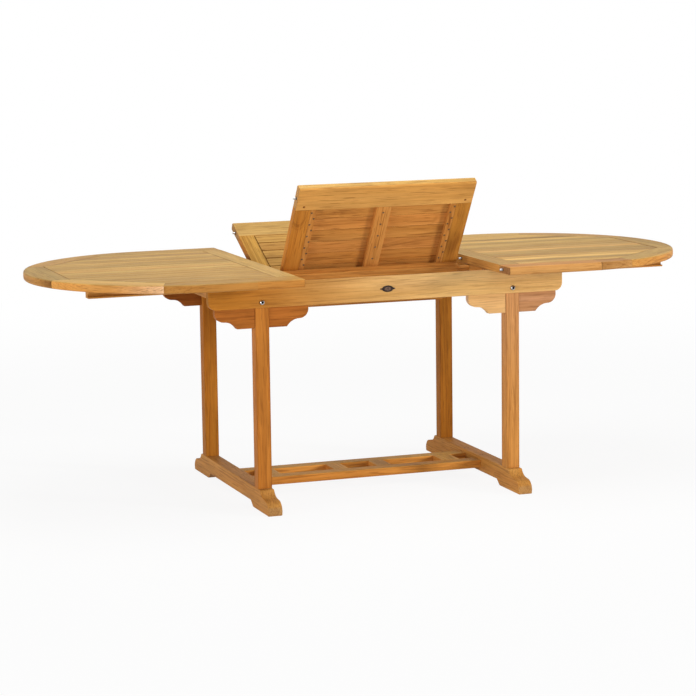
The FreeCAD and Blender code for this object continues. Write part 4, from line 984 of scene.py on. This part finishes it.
def seen_directly(tree):
    """1 for rays from the camera, or that a gloss or a glass sends on."""
    path = add_node(tree, "ShaderNodeLightPath")
    seen = math_node(tree, "MAXIMUM", path["Is Camera Ray"], path["Is Glossy Ray"])
    return math_node(tree, "MAXIMUM", seen, path["Is Transmission Ray"])


SHADOW_NEAR, SHADOW_GONE, SHADOW_CLEAR = 1.2, 5.0, 0.90  # the shadow fades out away from the feet
floor_paint, tree, shader = surface_of("white_floor")
feed(tree, shader.inputs, {"Base Color": (0.9, 0.9, 0.9, 1), "Roughness": 0.9, "Specular IOR Level": 0.0})
glow = add_node(tree, "ShaderNodeEmission", {"Strength": 1.0})[0]
where = add_node(tree, "ShaderNodeTexCoord")["Object"]
reach = add_node(tree, "ShaderNodeVectorMath", {0: where}, operation="LENGTH")["Value"]
clear = spread(tree, reach, SHADOW_NEAR, SHADOW_GONE, SHADOW_CLEAR, 1.0)
share = math_node(tree, "MULTIPLY", seen_directly(tree), clear)
blend = add_node(tree, "ShaderNodeMixShader", {0: share, 1: shader.outputs[0], 2: glow})[0]
feed(tree, tree.nodes["Material Output"].inputs, {"Surface": blend})
floor_mesh.materials.append(floor_paint)

world = scene.world or bpy.data.worlds.new("white_surround")
scene.world = world
world.use_nodes = True
tree = world.node_tree
tree.nodes.clear()
white = add_node(tree, "ShaderNodeBackground", {"Color": (1, 1, 1, 1), "Strength": 1.0})[0]
soft = add_node(tree, "ShaderNodeBackground", {"Color": (1.0, 0.99, 0.97, 1), "Strength": 0.34})[0]
blend = add_node(tree, "ShaderNodeMixShader", {0: seen_directly(tree), 1: soft, 2: white})[0]
add_node(tree, "ShaderNodeOutputWorld", {0: blend})

LAMPS_AIM = Vector((0, 0, 0.6))
for name, place, size, power in (
    ("key", (7.2, -6.0, 2.05), 1.6, 620.0),
    ("overhead", (-0.1, -0.3, 2.7), 2.0, 37.0),
    ("fill", (-7.4, -2.8, 0.6), 3.0, 410.0),
):
    lamp = bpy.data.lights.new(name, "AREA")
    lamp.shape, lamp.size, lamp.energy = "SQUARE", size, power
    light = in_scene(name, lamp)
    light.location = place
    light.rotation_euler = (LAMPS_AIM - Vector(place)).to_track_quat("-Z", "Y").to_euler()
    light.visible_glossy = name != "key"  # so low a lamp would glare on the top

CAMERA_PLACE = Vector((-2.802, -7.835, 1.7095))
CAMERA_TURN, CAMERA_DIP, CAMERA_ROLL = math.radians(19.47), math.radians(8.58), math.radians(-0.76)
FOCUS_PIXELS, PICTURE_PIXELS, SENSOR = 2515.6, 696, 36.0
forward = Vector((math.sin(CAMERA_TURN) * math.cos(CAMERA_DIP), math.cos(CAMERA_TURN) * math.cos(CAMERA_DIP),
                  -math.sin(CAMERA_DIP)))
level = Vector((math.cos(CAMERA_TURN), -math.sin(CAMERA_TURN), 0))
upright = level.cross(forward)
right = level * math.cos(CAMERA_ROLL) + upright * math.sin(CAMERA_ROLL)
above = upright * math.cos(CAMERA_ROLL) - level * math.sin(CAMERA_ROLL)
lens = bpy.data.cameras.new("camera")
lens.sensor_fit, lens.sensor_width, lens.lens = "HORIZONTAL", SENSOR, FOCUS_PIXELS / PICTURE_PIXELS * SENSOR
lens.clip_end = 200.0
camera = in_scene("camera", lens)
turn = Matrix((right, above, -forward)).transposed().to_4x4()
camera.matrix_world = Matrix.Translation(CAMERA_PLACE) @ turn
scene.camera = camera
